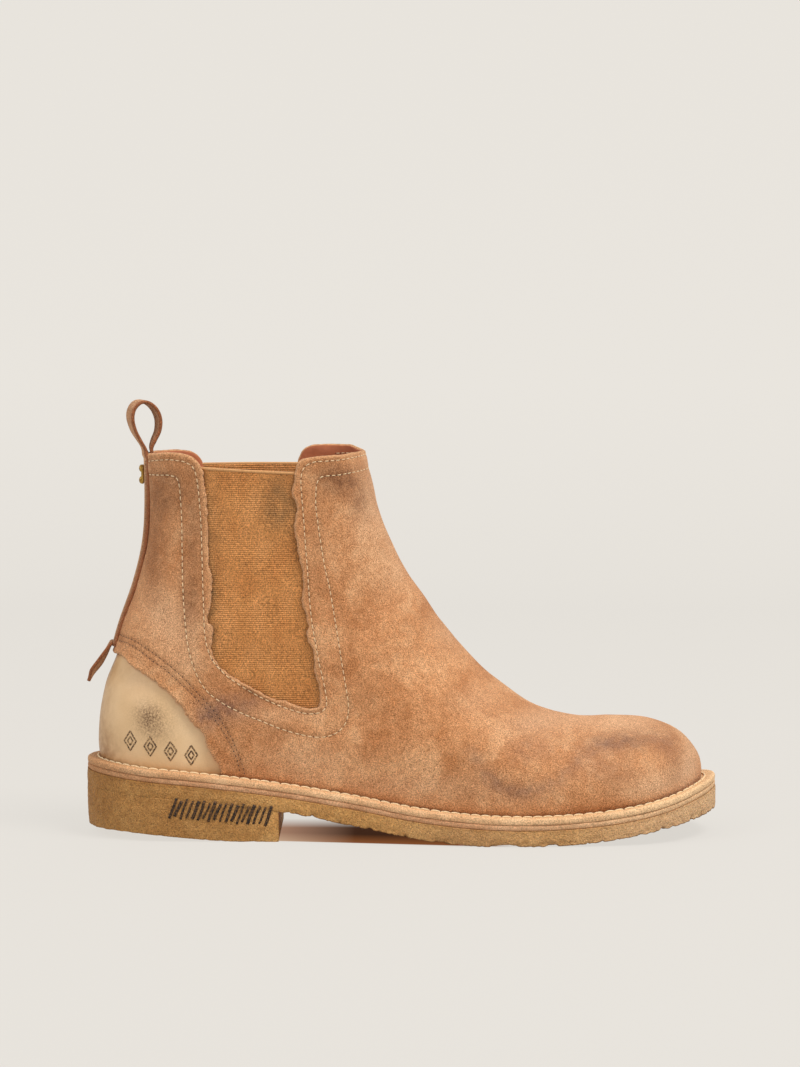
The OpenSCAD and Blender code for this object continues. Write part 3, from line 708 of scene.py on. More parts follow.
def webbing():
    """Ribbed elastic: fine level ribs crossed by the warp, with a grey rub at its upper front corner and
    painted shadow along the suede's edges.
    """
    p = Paint("webbing", rough=0.85, Sheen_Weight=0.15, Specular_IOR_Level=0.2)
    ribs, warp = p.ribs(0.92, 0.5), p.noise(0.55, 2, (1, 1, 0.7), 0.75)
    colour = p.ramp(p.noise(9, 3, (1, 1, 0.5)), 0.33, 0.67, (196, 130, 72), (205, 140, 80), (214, 149, 89))
    colour = p.patches(colour, "smudge_and_shade", (128, 100, 66), 5, 0.5, 1.3)
    p.set(Base_Color=p.shade(p.shade(colour, ribs, 0.87, 1.07), p.mid(warp), 0.42, 1.58))
    p.bump(0.22, p.raised(ribs, 0.5, warp))
    return p.material


def thread(name, colour, dark):
    p = Paint(name, rough=0.7, Sheen_Weight=0.2)
    ply = p.noise(0.35, 2)
    p.set(Base_Color=p.mix(p.span(ply, 0.35, 0.65), dark, colour))
    p.bump(0.12, ply)
    return p.material


def cap_leather():
    """Cream leather, softly glossy, with a rubbed dark spot, and painted shade where the attributes say."""
    p = Paint("cap_leather", rough=0.42, Specular_IOR_Level=0.45, Coat_Weight=0.12, Coat_Roughness=0.35)
    colour = p.ramp(p.noise(22, 2), 0.3, 0.7, (227, 188, 139), (232, 195, 148), (238, 203, 158))
    dirt = p.noise(0.9, 4, rough=0.8)
    spot = p.times(p.value("smudge_and_shade"), p.span(dirt, 0.36, 0.64, 0.15, 1.6), clamp=True)
    colour = p.mix(spot, colour, (120, 88, 56))
    # Dirt, and painted shade along the suede's edge, over the welt and at the back
    colour = p.patches(colour, "grime_and_shade", (166, 122, 78), 3, 0.6, 1.2)
    p.set(Base_Color=p.shade(colour, p.noise(0.6, 2), 0.94, 1.06), Roughness=p.mid(dirt, 0.36, 0.52))
    p.bump(0.03, p.plus(p.cells(0.9), p.noise(0.5, 2)))
    return p.material


def brass():
    p = Paint("brass", rough=0.3, Metallic=1.0)
    wear = p.noise(1.2, 3)
    p.set(Base_Color=p.mix(p.span(wear, 0.4, 0.65), (206, 164, 84), (150, 112, 56)),
          Roughness=p.mid(wear, 0.22, 0.45))
    p.bump(0.02, p.noise(0.4, 2))
    return p.material


def steel():
    p = Paint("shank_steel", rough=0.4, Metallic=1.0)
    brushed = p.noise(0.8, 2, (0.05, 1, 1))
    p.set(Base_Color=p.mix(brushed, (120, 120, 124), (170, 170, 172)), Roughness=p.mid(brushed, 0.3, 0.5))
    p.bump(0.02, brushed)
    return p.material


def cork():
    p = Paint("cork", rough=0.9)
    grains = p.cells(2.2)
    p.set(Base_Color=p.ramp(grains, 0.0, 0.6, (120, 78, 46), (176, 128, 84), (196, 150, 104)))
    p.bump(0.4, grains)
    return p.material


def ink(name, dark, under):
    """Stamped ink, worn through here and there to the colour under it."""
    p = Paint(name, rough=0.6, Specular_IOR_Level=0.3)
    worn_off = p.noise(0.8, 3, rough=0.7)
    p.set(Base_Color=p.mix(p.span(worn_off, 0.46, 0.6), dark, under))
    p.bump(0.03, worn_off)
    return p.material


def plain_floor():
    """A lit table: most of its brightness is its own. The ground under the arch gets a painted shadow, dark
    brown, with a painted warm reflection near its outer edge.
    """
    p = Paint("floor", rough=0.9, Specular_IOR_Level=0.1)
    x, y = p.axis("X"), p.axis("Y")
    under_sole = p.plus(p.times(x, 0.164), p.plus(y, 43.7 * MM))      # distance in from the arch's outer edge
    # Where the painted shadow lies: under the arch, inside the sole's outer edge
    arch = p.times(p.span_mm(x, -61, -58), p.span_mm(x, 26, 52, 1, 0))
    arch = p.times(arch, p.span_mm(y, 6, 34, 1, 0))
    shade = p.times(arch, p.span_mm(under_sole, -0.8, 0.8))
    rim, far = p.span_mm(under_sole, 1, 26, 1, 0), p.span_mm(x, -58, -22)
    # Colour of the painted shadow: dark brown deep under the arch, with a painted warm reflection near its
    # outer edge
    dark = p.mix(rim, p.mix(far, (172, 132, 108), (66, 40, 26)), p.mix(far, (204, 170, 142), (140, 84, 46)))
    seen = p.span(p.node("ShaderNodeLightPath").outputs["Is Camera Ray"], 0, 1, 0.775, 1)
    # The painted shadow darkens both the floor's own colour and its glow
    p.set(Base_Color=p.mix(shade, p.mix(p.noise(900, 1), (84, 82, 81), (83, 82, 80)), (30, 20, 14)),
          Emission_Strength=p.times(p.span(y, 1.0, 1.8, 0.865, 0.935), seen),
          Emission_Color=p.mix(shade, (229, 225, 218), dark))
    return p.material


SUEDE = suede("suede", (193, 129, 81), (210, 149, 101), (225, 170, 123), (214, 162, 116))
STRAP = suede("strap_suede", (176, 124, 84), (196, 144, 102), (214, 164, 122), (150, 88, 54))
LINING = leather("lining_leather", (192, 112, 70), (158, 84, 50), 0.6, 0.5, 0.05, contrast=0.18)
FOOTBED = leather("footbed_leather", (176, 108, 70), (136, 78, 46), 0.55, 0.6, 0.05)
BOARD = leather("insole_leather", (190, 150, 108), (160, 120, 82), 0.8, 0.8, 0.1)
COUNTER = leather("counter_board", (180, 146, 108), (150, 116, 82), 0.85, 0.5, 0.1)
PUFF = leather("puff_fabric", (222, 208, 180), (200, 184, 152), 0.9, 0.4, 0.1, 8)
WELT, MIDSOLE, CREPE, WEBBING = welt_leather(), midsole_leather(), crepe_rubber(), webbing()
CAP, BRASS = cap_leather(), brass()
CREAM = thread("cream_thread", (250, 228, 186), (228, 194, 146))
TAN = thread("tan_thread", (196, 146, 100), (150, 104, 66))
# Painted shade in the needle holes, as dark lenses
HOLE_SHADE = thread("needle_hole_shade", (64, 40, 26), (38, 24, 16))
HEM = thread("webbing_hem", (222, 168, 108), (190, 132, 76))


# ---------- The pieces of the upper ----------

# Worn places, and painted light and shade among them, in the side view: x, z, wide, tall and amount, for the
# lateral side and for the medial side
SMUDGES = {
    LATERAL: [(-28, 168, 9, 6, 0.75), (-20, 159, 5, 7, 0.45), (-34, 174, 10, 4, 0.4),
              (-110, 170, 11, 9, 0.36), (-116, 150, 6, 18, 0.3), (-98, 140, 5, 30, 0.45),
              (-99, 112, 5, 14, 0.4), (-117, 128, 6, 14, 0.4), (-110, 160, 10, 8, 0.35),
              (-60, 52, 14, 4, 0.2), (106, 46, 18, 4.6, 0.42), (128, 36, 3.5, 9, 0.25),
              (-40, 140, 4, 20, 0.15), (24, 66, 8, 5, 0.12), (-86, 40, 8, 8, 0.12), (32, 40, 10, 9, 0.12),
              (102, 31, 14, 6, 0.14)],
    MEDIAL: [(-30, 168, 9, 7, 0.5), (-112, 160, 10, 14, 0.5), (-98, 120, 5, 26, 0.4), (104, 46, 18, 4, 0.5),
             (60, 30, 18, 6, 0.3)]}
GRIMES = {
    LATERAL: [(-84, 62, 11, 6.5, 0.65), (-92, 57, 5, 6, 0.4), (-72, 66, 9, 4, 0.35), (94, 36, 14, 7, 0.28),
              (98, 46, 16, 3.4, 0.22), (56, 25, 14, 4, 0.24), (43, 31, 5, 4, 0.15), (126, 42, 6, 7, 0.2),
              (60, 44, 13, 7, 0.28)],
    MEDIAL: [(-84, 60, 12, 7, 0.5), (96, 38, 14, 7, 0.35), (50, 28, 14, 5, 0.3)]}
# Paler places: paler suede, and painted light where the low quarter and waist sit over the welt
PALES_AND_PAINTED_LIGHT = {
    LATERAL: [(-12, 158, 7, 20, 0.55), (-2, 128, 9, 14, 0.35), (22, 96, 8, 8, 0.4),
              (-105, 100, 13, 14, 0.6), (-116, 108, 8, 12, 0.4), (-100, 84, 10, 6, 0.35),
              (112, 27, 14, 7, 0.4), (128, 27, 12, 8, 0.6), (136, 34, 5, 13, 0.8), (64, 55, 20, 5, 0.7),
              (36, 66, 10, 6, 0.4), (100, 53, 22, 3, 0.5), (-62, 60, 26, 4, 0.3), (-20, 150, 6, 16, 0.3),
              (112, 52, 14, 4, 0.35), (10, 27, 40, 6, 0.38), (-46, 38, 20, 9, 0.35),
              (120, 23, 14, 5, 0.25)],
    MEDIAL: [(-12, 152, 8, 22, 0.5), (-108, 100, 14, 14, 0.5), (60, 54, 18, 6, 0.4), (112, 28, 14, 8, 0.4),
             (0, 60, 20, 16, 0.3)]}
# Rubs on the gores; the long one at (-89, 120) is painted shadow along the rear panel's raised edge
GORE_RUBS_AND_SHADOW = {LATERAL: [(-58, 158, 8, 13, 0.65), (-89, 120, 4.5, 42, 0.4)], MEDIAL: [(-62, 150, 14, 14, 0.4)]}


# Sums a table's spots for each side; some of them are painted light and shade
def worn(places, x, z, side):
    return np.clip(sum((side == s) * blobs(x, z, *spots) for s, spots in places.items()), 0, 1)


def suede_values(x, z, side, d, face_share):
    # Painted shade in the ball's fold, on the outer side
    crease_shade = 0.3 * bump_at(gap_to(x, z, BALL_CREASE, 30), 3.2) * (side == LATERAL)
    seams = sum(bump_at(gap_to(x, z, line, 60), 1.1) for line in SEAMS)
    above_welt = z - seat_z(x)
    # Painted shade in the corner just above the welt
    welt_corner_shade = 0.75 * bump_at(above_welt, 1.1) + 0.12 * bump_at(above_welt, 3)
    raw = np.where(face_share == 0.5, 0.9, np.clip(1 - d / 0.9, 0, 1) * 0.55)
    return {"smudge_and_shade": np.clip(worn(SMUDGES, x, z, side) + 0.22 * seams + welt_corner_shade, 0, 1),
            "grime_and_shade": np.clip(worn(GRIMES, x, z, side) + crease_shade, 0, 1),
            "pale_and_painted_light": worn(PALES_AND_PAINTED_LIGHT, x, z, side), "raw": raw * (above_welt >= 1.5)}


def near_detail(x, z, side):
    """Distance to whatever needs a fine mesh: the raw edges and the seams."""
    d = np.abs(suede_reach(x, z, side)) * 0.8
    for line, count in zip(SEAMS + ROWS, (50, 50, 50, 50, 0, 0)):
        d = np.minimum(d, gap_to(x, z, line, count) + 0.4)
    return d


def build_upper():
    def height(x, z, side, d):
        return relief(x, z, side) + edge_lift(x, z, side, d) - 0.5 * bump_at(z - seat_z(x), 1.2)
    points, polys, facts = panel((0, 2 * np.pi), 260, 84, suede_reach, height, thickness=SUEDE_T,
                                 fine=((near_detail, 2.6), (near_detail, 1.2)))
    make_piece("suede_upper", points, polys, [SUEDE], replaces=["upper"], values=suede_values(*facts))


def lining_height(x, z, side, d=0):
    """Against the suede at the topline, then behind the gores, and behind the counter at the heel."""
    shaft = SUEDE_T + 0.1 + 1.75 * ease(0, 9, np.maximum(176 - z, 0))
    heel = 1.5 * (1 - ease(88, 106, z)) * (1 - ease(-82, -62, x))
    return -(shaft + heel)


def build_lining(name, way, meeting):
    """The lining in front of (way 1) or behind (way -1) the x where the two meet."""
    def signed(x, z, side):
        return np.minimum(top_reach(x, z, side) - 0.25, way * (x - meeting))
    points, polys, _ = panel((0, 2 * np.pi), 200, 60, signed, lining_height, thickness=LINING_T,
                             fine=((signed, 1.6),))
    make_piece(name, points, polys, [LINING], replaces=[name])


def build_gore(name, side, turns):
    def top(x):
        return np.interp(x, *np.array(GORE_TOP[side], float).T)

    def signed(x, z, s):
        return np.minimum(reach(x, z, GORE_UNDER, []), top(x) - z)

    def height(x, z, s, d):
        middle = bump_at(gap_to(x, z, [(-70, 170), (-68, 110), (-58, 84)]), 20)
        return 0.9 * middle + 0.25 * wobble(stack(x, z, 10 * s), 16, 8) - UNDER_SUEDE
    points, polys, (x, z, s, _, _) = panel(turns, 150, 90, signed, height, thickness=GORE_T,
                                           fine=((signed, 1.5),))
    # Rubs, and painted shadow on the webbing along the suede's raised edges
    smudge_and_shade = blobs(x, z, *GORE_RUBS_AND_SHADOW[side]) + 0.5 * bump_at(suede_reach(x, z, s), 1.6)
    make_piece(name + "_webbing", points, polys, [WEBBING], replaces=[name],
               values={"smudge_and_shade": np.clip(smudge_and_shade, 0, 1)})
    xs = np.linspace(-103, -41, 60)
    p, n = face(*locate(xs, top(xs), np.full(xs.shape, side)))
    lift = 0.9 * bump_at(xs + 70, 20) - UNDER_SUEDE - 0.5
    heap = Heap()
    tube(heap, p + n * lift[:, None] + (0, 0, 0.1), 0.75)
    heap.piece(name + "_hem", [HEM], slot=name)


def cap_height(x, z, side, d=0):
    """The cap's face comes up to the suede's where it is bare."""
    bare = ease(-1, 17, reach(x, z, CAP_EDGE, BELOW_CAP))
    return 0.15 * wobble(stack(x, z, 40 * side), 20, 9) - UNDER_SUEDE * (1 - bare)


def build_cap():
    def signed(x, z, side):
        return reach(x, z, CAP_UNDER, BELOW_CAP)
    points, polys, (x, z, side, _, _) = panel((-1.75, 1.75), 170, 60, signed, cap_height, thickness=CAP_T,
                                              top=0.6)
    spot = blobs(x, z, (-119, 58, 6, 7, 0.6), (-115, 57, 10, 7, 0.3), (-113, 50, 8, 5, 0.25))
    # Painted shade under the suede's edge, in the corner over the welt and where the back turns away; two
    # darker blobs at the back
    grime_and_shade = 0.25 * bump_at(reach(x, z, CAP_EDGE, BELOW_CAP), 1.5) + 0.4 * bump_at(z - seat_z(x), 3)
    grime_and_shade = grime_and_shade + 0.5 * ease(-132, -144, x) + blobs(x, z, (-128, 76, 12, 10, 0.25), (-138, 42, 9, 10, 0.4))
    make_piece("cream_heel_cap", points, polys, [CAP], replaces=["heel_cap"],
               values={"smudge_and_shade": np.where(side == LATERAL, spot, 0.3 * spot), "grime_and_shade": np.clip(grime_and_shade, 0, 1)})


# ---------- Threads ----------

def hoops(centre, u, v, sides, radius):
    """A ring of points round each centre, in the plane of u and v; radius is one number or one a ring."""
    a = np.linspace(0, 2 * np.pi, sides, endpoint=False)[:, None]
    round_it = np.cos(a) * u[:, None] + np.sin(a) * v[:, None]
    return centre[:, None] + np.reshape(radius, (-1, 1, 1)) * round_it


def tube_faces(count, rings, sides):
    """Side faces and end faces of count tubes of rings times sides points."""
    first = (np.arange(count) * rings * sides)[:, None, None]
    ring, k = np.arange(rings - 1)[None, :, None] * sides, np.arange(sides)
    a, b = first + ring + k, first + ring + (k + 1) % sides
    start = first[:, :, 0] + k[::-1]
    end = first[:, :, 0] + (rings - 1) * sides + k
    return stack(a, b, b + sides, a + sides).reshape(-1, 4), np.concatenate([start, end])


def tube(heap, path, radius, sides=8):
    """A round closed cord along the path."""
    along = unit(np.gradient(path, axis=0))
    across = unit(np.cross(along, (0, 0, 1.0)))
    rings = hoops(path, across, np.cross(across, along), sides, radius)
    heap.body(rings.reshape(-1, 3), *tube_faces(1, len(path), sides))


def along_path(path, s, *others):
    """Points of the path, and of others with as many points, at distances s along it."""
    known = lengths(path)
    return [stack(*(np.interp(s, known, v[:, k]) for k in range(3))) for v in (path, *others)]


def heading(path, s, near):
    """The path's way at distances s, from the points just ahead and just behind."""
    return unit(along_path(path, s + near)[0] - along_path(path, s - near)[0])


def stitch_row(heap, path, normal, pitch, radius, fill=0.72, hole=0.34, sunk=1.0, proud=0.55, closed=False):
    """One thread body for each stitch, and a needle hole at each end of it."""
    total = lengths(path)[-1]
    count = max(round(total / pitch), 1)
    step, rings, sides = total / count, 7, 6
    tau = np.linspace(0, 1, rings)
    jitter = 0.05 * wobble(np.arange(count)[:, None] * 1.7, 1.0, 6)
    s = (((np.arange(count) + 0.5 + jitter)[:, None] + fill * (tau - 0.5)) * step).ravel()
    p, n = along_path(path, s, normal)
    n = unit(n)
    arch = np.tile(np.sin(np.pi * tau) ** 0.6, count)
    centre = p + n * (radius * (-sunk + (sunk + proud) * arch))[:, None]
    across = unit(np.cross(heading(path, s, 0.1 * step), n))
    bodies = hoops(centre, n, across, sides, radius * (0.7 + 0.3 * arch))
    heap.body(bodies.reshape(-1, 3), *tube_faces(count, rings, sides))
    s = np.arange(count + (0 if closed else 1)) * step
    p, n = along_path(path, s, normal)
    holes(heap, p, unit(n), heading(path, s, 0.2), hole)


def holes(heap, p, n, t, size, sides=8):
    """Small dark lenses flush with the leather: painted shade in the needle holes."""
    rim = hoops(p - 0.12 * n, 1.15 * t, 0.8 * np.cross(t, n), sides, size)
    points = np.concatenate([rim, (p + 0.25 * n)[:, None]], axis=1)
    first, k = (np.arange(len(p)) * (sides + 1))[:, None], np.arange(sides)
    fan = stack(first + k, first + 0 * k + sides, first + (k + 1) % sides)
    heap.body(points.reshape(-1, 3), fan.reshape(-1, 3), first + k, kind=1)


def level_row(turn_from, heights, count=240):
    """Turns and t of a row that goes on round to the front at the given heights over x."""
    turn, t = np.linspace(turn_from, np.pi, count), np.full(count, 0.95)
    for _ in range(30):
        x, z = side_view(turn, t).T
        slope = (side_view(turn, t - 0.01)[:, 1] - z) / -0.01
        t = np.clip(t - (z - np.interp(x, *np.array(heights, float).T)) / slope, 0, 1)
    return turn, t


def seam_path(line, side, count):
    """The turn that a seam ends at, and its points and normals on the suede."""
    turn, t = locate(*curve(line, count).T, np.full(count + 1, side))
    return turn[-1], *finished(turn, t)


def build_gore_seams():
    pitch, hole = 3.1, 0.42
    for side, name in ((LATERAL, "gore_seams_lateral"), (MEDIAL, "gore_seams_medial")):
        heap = Heap()
        for line, heights in ((EDGE_SEAM, EDGE_ROW), (BORDER_SEAM, BORDER_ROW)):
            last_turn, p, n = seam_path(line, side, 420)
            turn, t = level_row(last_turn, heights)
            q, m = finished(turn, t)
            stitch_row(heap, np.vstack([p, q[1:]]), np.vstack([n, m[1:]]), pitch, radius=0.23, hole=hole)
            if line is EDGE_SEAM:      # the same row comes out on the lining of the front ear
                p, n = face(turn, t)
                depth = LINING_T - lining_height(p[:, 0], p[:, 2], side)
                stitch_row(heap, p - n * depth[:, None], -n, pitch, radius=0.24, fill=0.66, hole=hole)
        heap.piece(name + "_thread", [CREAM, HOLE_SHADE], replaces=[name])


def build_cap_seams():
    heap = Heap()
    for side in (LATERAL, MEDIAL):
        for line in CAP_SEAMS:
            _, p, n = seam_path(line, side, 200)
            stitch_row(heap, p, n, pitch=2.4, radius=0.2, fill=0.55, hole=0.55, proud=0.3)
    heap.piece("heel_cap_thread", [TAN, HOLE_SHADE], replaces=["heel_cap_seams"])


# ---------- The back strip, the loop and the tail ----------

STRIP_LIFT, STRAP_T, STRIP_W = -0.35, 1.7, 12.4
STRIP_LOW, STRIP_HIGH = 88.5, 179.5
LOOP_PIVOT, TAIL_PIVOT = np.array([-119.4, 182.6]), np.array([-140.2, 87.0])
LOOP_LINE = [(-2.6, -3.2), (-3.1, 0), (-4.8, 3.6), (-7.5, 8.4), (-9.1, 14), (-8.4, 18.6), (-5.5, 21.6),
             (-1.4, 21.5), (2.4, 18.4), (4.4, 13.6), (4.1, 8.2), (2.1, 3.6), (0.9, 0), (1.6, -4),
             (2.4, -10)]
TAIL_LINE = [(2.3, 3.4), (1.2, 1.4), (-0.4, -1.8), (-3.2, -6.6), (-6.4, -11), (-8.6, -15.4)]


def strap(name, path, width, twist, hug, **words):
    """A flat strap with rounded edges along an [x, z] path in the middle plane.

    width, twist (degrees about Z) and hug (how far it wraps round the back) have one value for each point.
    """
    along = unit(np.gradient(path, axis=0))
    flat, arc = np.linspace(-1, 1, 11), np.linspace(np.pi / 2, -np.pi / 2, 5)[1:-1]
    y = np.concatenate([flat, 1 + 0 * arc, flat[::-1], -1 + 0 * arc])
    bulge = np.concatenate([0 * flat, np.cos(arc), 0 * flat, -np.cos(arc)]) / 2
    h = np.concatenate([0 * flat + 1, np.sin(arc), 0 * flat - 1, -np.sin(arc)]) / 2
    count = len(path)
    ragged = 1 + 0.03 * wobble(stack(np.arange(count), np.zeros(count)), 4, 2)
    ys = (width * ragged / 2 - STRAP_T / 2)[:, None] * y + bulge * STRAP_T
    hs = h * STRAP_T * np.where(np.abs(y) > 0.97, 0.93, 1.0)
    x = path[:, :1] - along[:, 1:] * hs + hug[:, None] * ys**2
    z = path[:, 1:] + along[:, :1] * hs
    middle = LOOP_PIVOT[0] if path[:, 1].max() > 150 else path[:, 0].min()
    c, s = np.cos(np.radians(twist))[:, None], np.sin(np.radians(twist))[:, None]
    points = stack(middle + (x - middle) * c - ys * s, (x - middle) * s + ys * c, z).reshape(-1, 3)
    raw = 0.9 * np.clip((np.abs(y) - 0.86) / 0.08 + (h < 0) * 0.55, 0, 1)
    values = {"raw": np.tile(raw, count), "smudge_and_shade": np.tile(0.1 * (h < 0), count)}
    values["grime_and_shade"] = values["pale_and_painted_light"] = np.zeros(len(points))
    quads, ends = tube_faces(1, count, len(y))
    faces = [quads[:, ::-1], ends[:, ::-1]]
    return make_piece(name, points, faces, [STRAP], body=None, values=values, **words)


def hug_of(z):
    """How far the strip bends round the back: its edges are pressed into the suede."""
    return 1.35 * (back_r(z) / (2 * leg_w(z) ** 2) * (z > 90) + 0.018 * (z <= 90))


def strip_path():
    """Middle line of the strip on the back seam, from its lower end up to the topline."""
    z = np.linspace(STRIP_LOW, STRIP_HIGH, 60)
    return stack(np.interp(z, back_line[:, 1], back_line[:, 0]) - STRIP_LIFT - STRAP_T / 2, z)


def build_strip():
    strip, loop = strip_path()[:-1], curve(LOOP_PIVOT + LOOP_LINE, 110)
    path = np.vstack([strip, loop])
    on_strip, s = np.zeros(len(strip)), np.linspace(0, 1, len(loop))
    twist = np.concatenate([on_strip, 20 * np.sin(np.pi * np.clip(s * 1.08, 0, 1)) ** 0.8])
    hold = np.concatenate([on_strip + 1, 1 - ease(0, 0.16, s) + ease(0.93, 1, s)])
    width = np.concatenate([on_strip + STRIP_W, STRIP_W - 0.6 + 0 * s])
    piece = strap("back_strip_and_loop", path, width, twist, hug_of(np.clip(path[:, 1], 89, 185)) * hold,
                  replaces=["back_strip", "pull_loop"])
    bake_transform(piece)


def build_tail():
    line = curve(TAIL_PIVOT + TAIL_LINE, 40)
    s = np.linspace(0, 1, len(line))
    width = 11.6 - 2.0 * ease(0.2, 0.6, s) - 7.4 * ease(0.55, 1.0, s) ** 1.3
    piece = strap("strip_tail_flap", line, width, -24 * ease(0.15, 0.8, s),
                  hug_of(line[:, 1]) * (1 - ease(0, 0.4, s)), replaces=["strip_tail"])
    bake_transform(piece)


def build_strip_seams():
    heap = Heap()
    x, z = strip_path()[2:-2].T
    inset = STRIP_W / 2 - 1.7
    for way in (-1, 1):
        p = stack(x - STRAP_T / 2 + hug_of(z) * inset**2, 0 * x + way * inset, z)
        stitch_row(heap, p, np.tile((-1.0, 0.16 * way, 0), (len(x), 1)), pitch=3.0, radius=0.26)
    heap.piece("back_strip_thread", [TAN, HOLE_SHADE], replaces=["back_strip_seams"])


def rounded_box(low, high, radius, steps=4):
    """A box with round edges, as points and quads, from a cube whose points are pulled to a sphere's."""
    g = np.concatenate([np.linspace(-1, 0, steps + 1), np.linspace(0, 1, steps + 1)])
    ends = np.repeat([-1, 1], steps + 1)
    m = len(g)
    points, quads = [], []
    for axis in range(3):
        across, up = (axis + 1) % 3, (axis + 2) % 3
        for sign in (-1, 1):
            p, corner = np.full((2, m, m, 3), float(sign))
            p[..., across], p[..., up] = np.meshgrid(g, g, indexing="ij")
            corner[..., across], corner[..., up] = np.meshgrid(ends, ends, indexing="ij")
            middle, half = (low + high) / 2, (high - low) / 2 - radius
            quads.append(grid_faces(m, m, flip=sign > 0) + len(points) * m * m)
            points.append((middle + corner * half + unit(np.tan(p * np.pi / 4)) * radius).reshape(-1, 3))
    return np.concatenate(points), np.concatenate(quads)


def weld(points, quads, near=1e-3):
    """Joins points that coincide, and drops faces that this closes up."""
    _, first, index = np.unique(np.round(points / near).astype(np.int64), axis=0, return_index=True,
                                return_inverse=True)
    quads = index.reshape(-1)[quads]
    same = quads == np.roll(quads, -1, axis=1)
    folded = same.sum(1) == 1
    tris = quads[folded][~same[folded]].reshape(-1, 3)
    tris = tris[(tris != np.roll(tris, -1, axis=1)).all(1)]
    return points[first], quads[same.sum(1) == 0], tris


def build_brass():
    low, high = (np.array(v) / MM + (0.4, 0, -0.9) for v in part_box("brass_plate"))
    heap = Heap()
    heap.body(*weld(*rounded_box(low - (0.25, 0, 0), high + (0.2, 0, 0), 0.38)))
    heap.piece("brass_bar", [BRASS], replaces=["brass_plate"])
    heap = Heap()
    rise, head, sides = np.linspace(0, np.pi / 2, 7), 1.75, 24
    x = np.concatenate([[low[0] + 0.4], low[0] - 0.2 - 1.15 * np.sin(rise)])
    radius = np.concatenate([[head], head * np.cos(rise) + 0.02])
    quads, ends = tube_faces(1, len(x), sides)
    for dz in (-2.8, 2.8):
        centre = np.tile((low + high) / 2 + (0, 0, dz), (len(x), 1))
        centre[:, 0] = x
        rings = hoops(centre, np.array([(0, 1.0, 0)]), np.array([(0, 0, 1.0)]), sides, radius)
        heap.body(rings.reshape(-1, 3), quads[:, ::-1], ends[:, ::-1])
    heap.piece("brass_rivet_heads", [BRASS], replaces=["brass_rivets"])


# ---------- The bottom ----------

COLUMNS = 420


def outline(d):
    """Lateral and medial plan points of the upper's lower edge moved out by d, from back to toe."""
    u = (1 - np.cos(np.pi * np.arange(COLUMNS + 1) / COLUMNS)) / 2
    x = HEEL_END[0] + (TOE_END[0] - HEEL_END[0]) * u
    w = np.array([half_width(x, seat_z(x), np.full(x.shape, side)) for side in (LATERAL, MEDIAL)])
    w[:, [0, -1]] = 0
    loop = np.vstack([stack(x, -w[0]), stack(x, w[1])[-2:0:-1]])
    tangent = np.roll(loop, -1, axis=0) - np.roll(loop, 1, axis=0)
    loop = loop + d * unit(stack(tangent[:, 1], -tangent[:, 0]))
    return loop[:COLUMNS + 1], np.vstack([loop[:1], loop[:COLUMNS:-1], loop[COLUMNS:COLUMNS + 1]])


def slab(lateral, medial, top, bottom, rows, across, profile, open_front=False):
    """A closed layer between two height functions of x; profile moves its sides out over the height share."""
    f, k = np.linspace(0, 1, rows + 1), np.linspace(0, 1, across + 1)[:, None]
    points, quads = [], []

    def patch(xy, share, flip=False):
        x = xy[..., 0]
        z = bottom(x) + (top(x) - bottom(x)) * share
        quads.append(grid_faces(*xy.shape[:2], flip) + sum(map(len, points)))
        points.append(np.concatenate([xy, z[..., None]], -1).reshape(-1, 3))

    def between(a, b):
        return a[:, None] * (1 - k) + b[:, None] * k
    sides = []
    for line, way in ((lateral, 1), (medial, -1)):
        tangent = unit(np.gradient(line, axis=0))
        out = stack(tangent[:, 1], -tangent[:, 0]) * way
        out[0] = (-1, 0)
        if not open_front:
            out[-1] = (1, 0)
        sides.append(line + out * profile(f)[:, None, None])
    left, right = sides
    patch(left, f[:, None])
    patch(right, f[:, None], flip=True)
    patch(between(left[0], right[0]), f[0])
    patch(between(left[-1], right[-1]), f[-1], flip=True)
    if open_front:
        patch(between(left[:, -1], right[:, -1]), f[:, None])
    return weld(np.concatenate(points), np.concatenate(quads))


def crumble(points, low_z, strength=1.0):
    """Crepe's lower rim, torn and chipped, and its pebbled skin."""
    x, y, z = points.T
    near = bump_at(np.maximum(z - low_z(x), 0), 2.2) * strength
    chips = np.clip(wobble(points, 2.4, 3) - 0.05, 0, 1) + 0.5 * np.clip(wobble(points, 1.2, 4), 0, 1)
    inward = unit(stack(np.clip(x, -110, 100), 0 * y) - points[:, :2])
    skin = 0.16 * wobble(points, 3.2, 5) + 0.1 * wobble(points, 1.3, 6)
    moved = points.copy()
    moved[:, :2] += inward * (near * chips * 1.5 + skin)[:, None]
    moved[:, 2] += near * chips * 1.1 * (z > low_z(x) - 0.01)
    return moved


def seat_edge(x):
    """The seat's height, carried on past the upper's ends."""
    return seat_z(x) - 0.072 * np.minimum(x - HEEL_END[0], 0) + 0.36 * np.maximum(x - TOE_END[0], 0)


def midsole_top(x):
    return seat_edge(x) - WELT_T - GLUE


def crepe_top(x):
    return midsole_top(x) - MIDSOLE_T - GLUE


def sole_bottom(x):
    return np.maximum(tread_z(x), 0)


def heel_bottom(x):
    """The heel is worn away towards its back."""
    return 0.02 + 3.9 * ease(-74, -136, x)


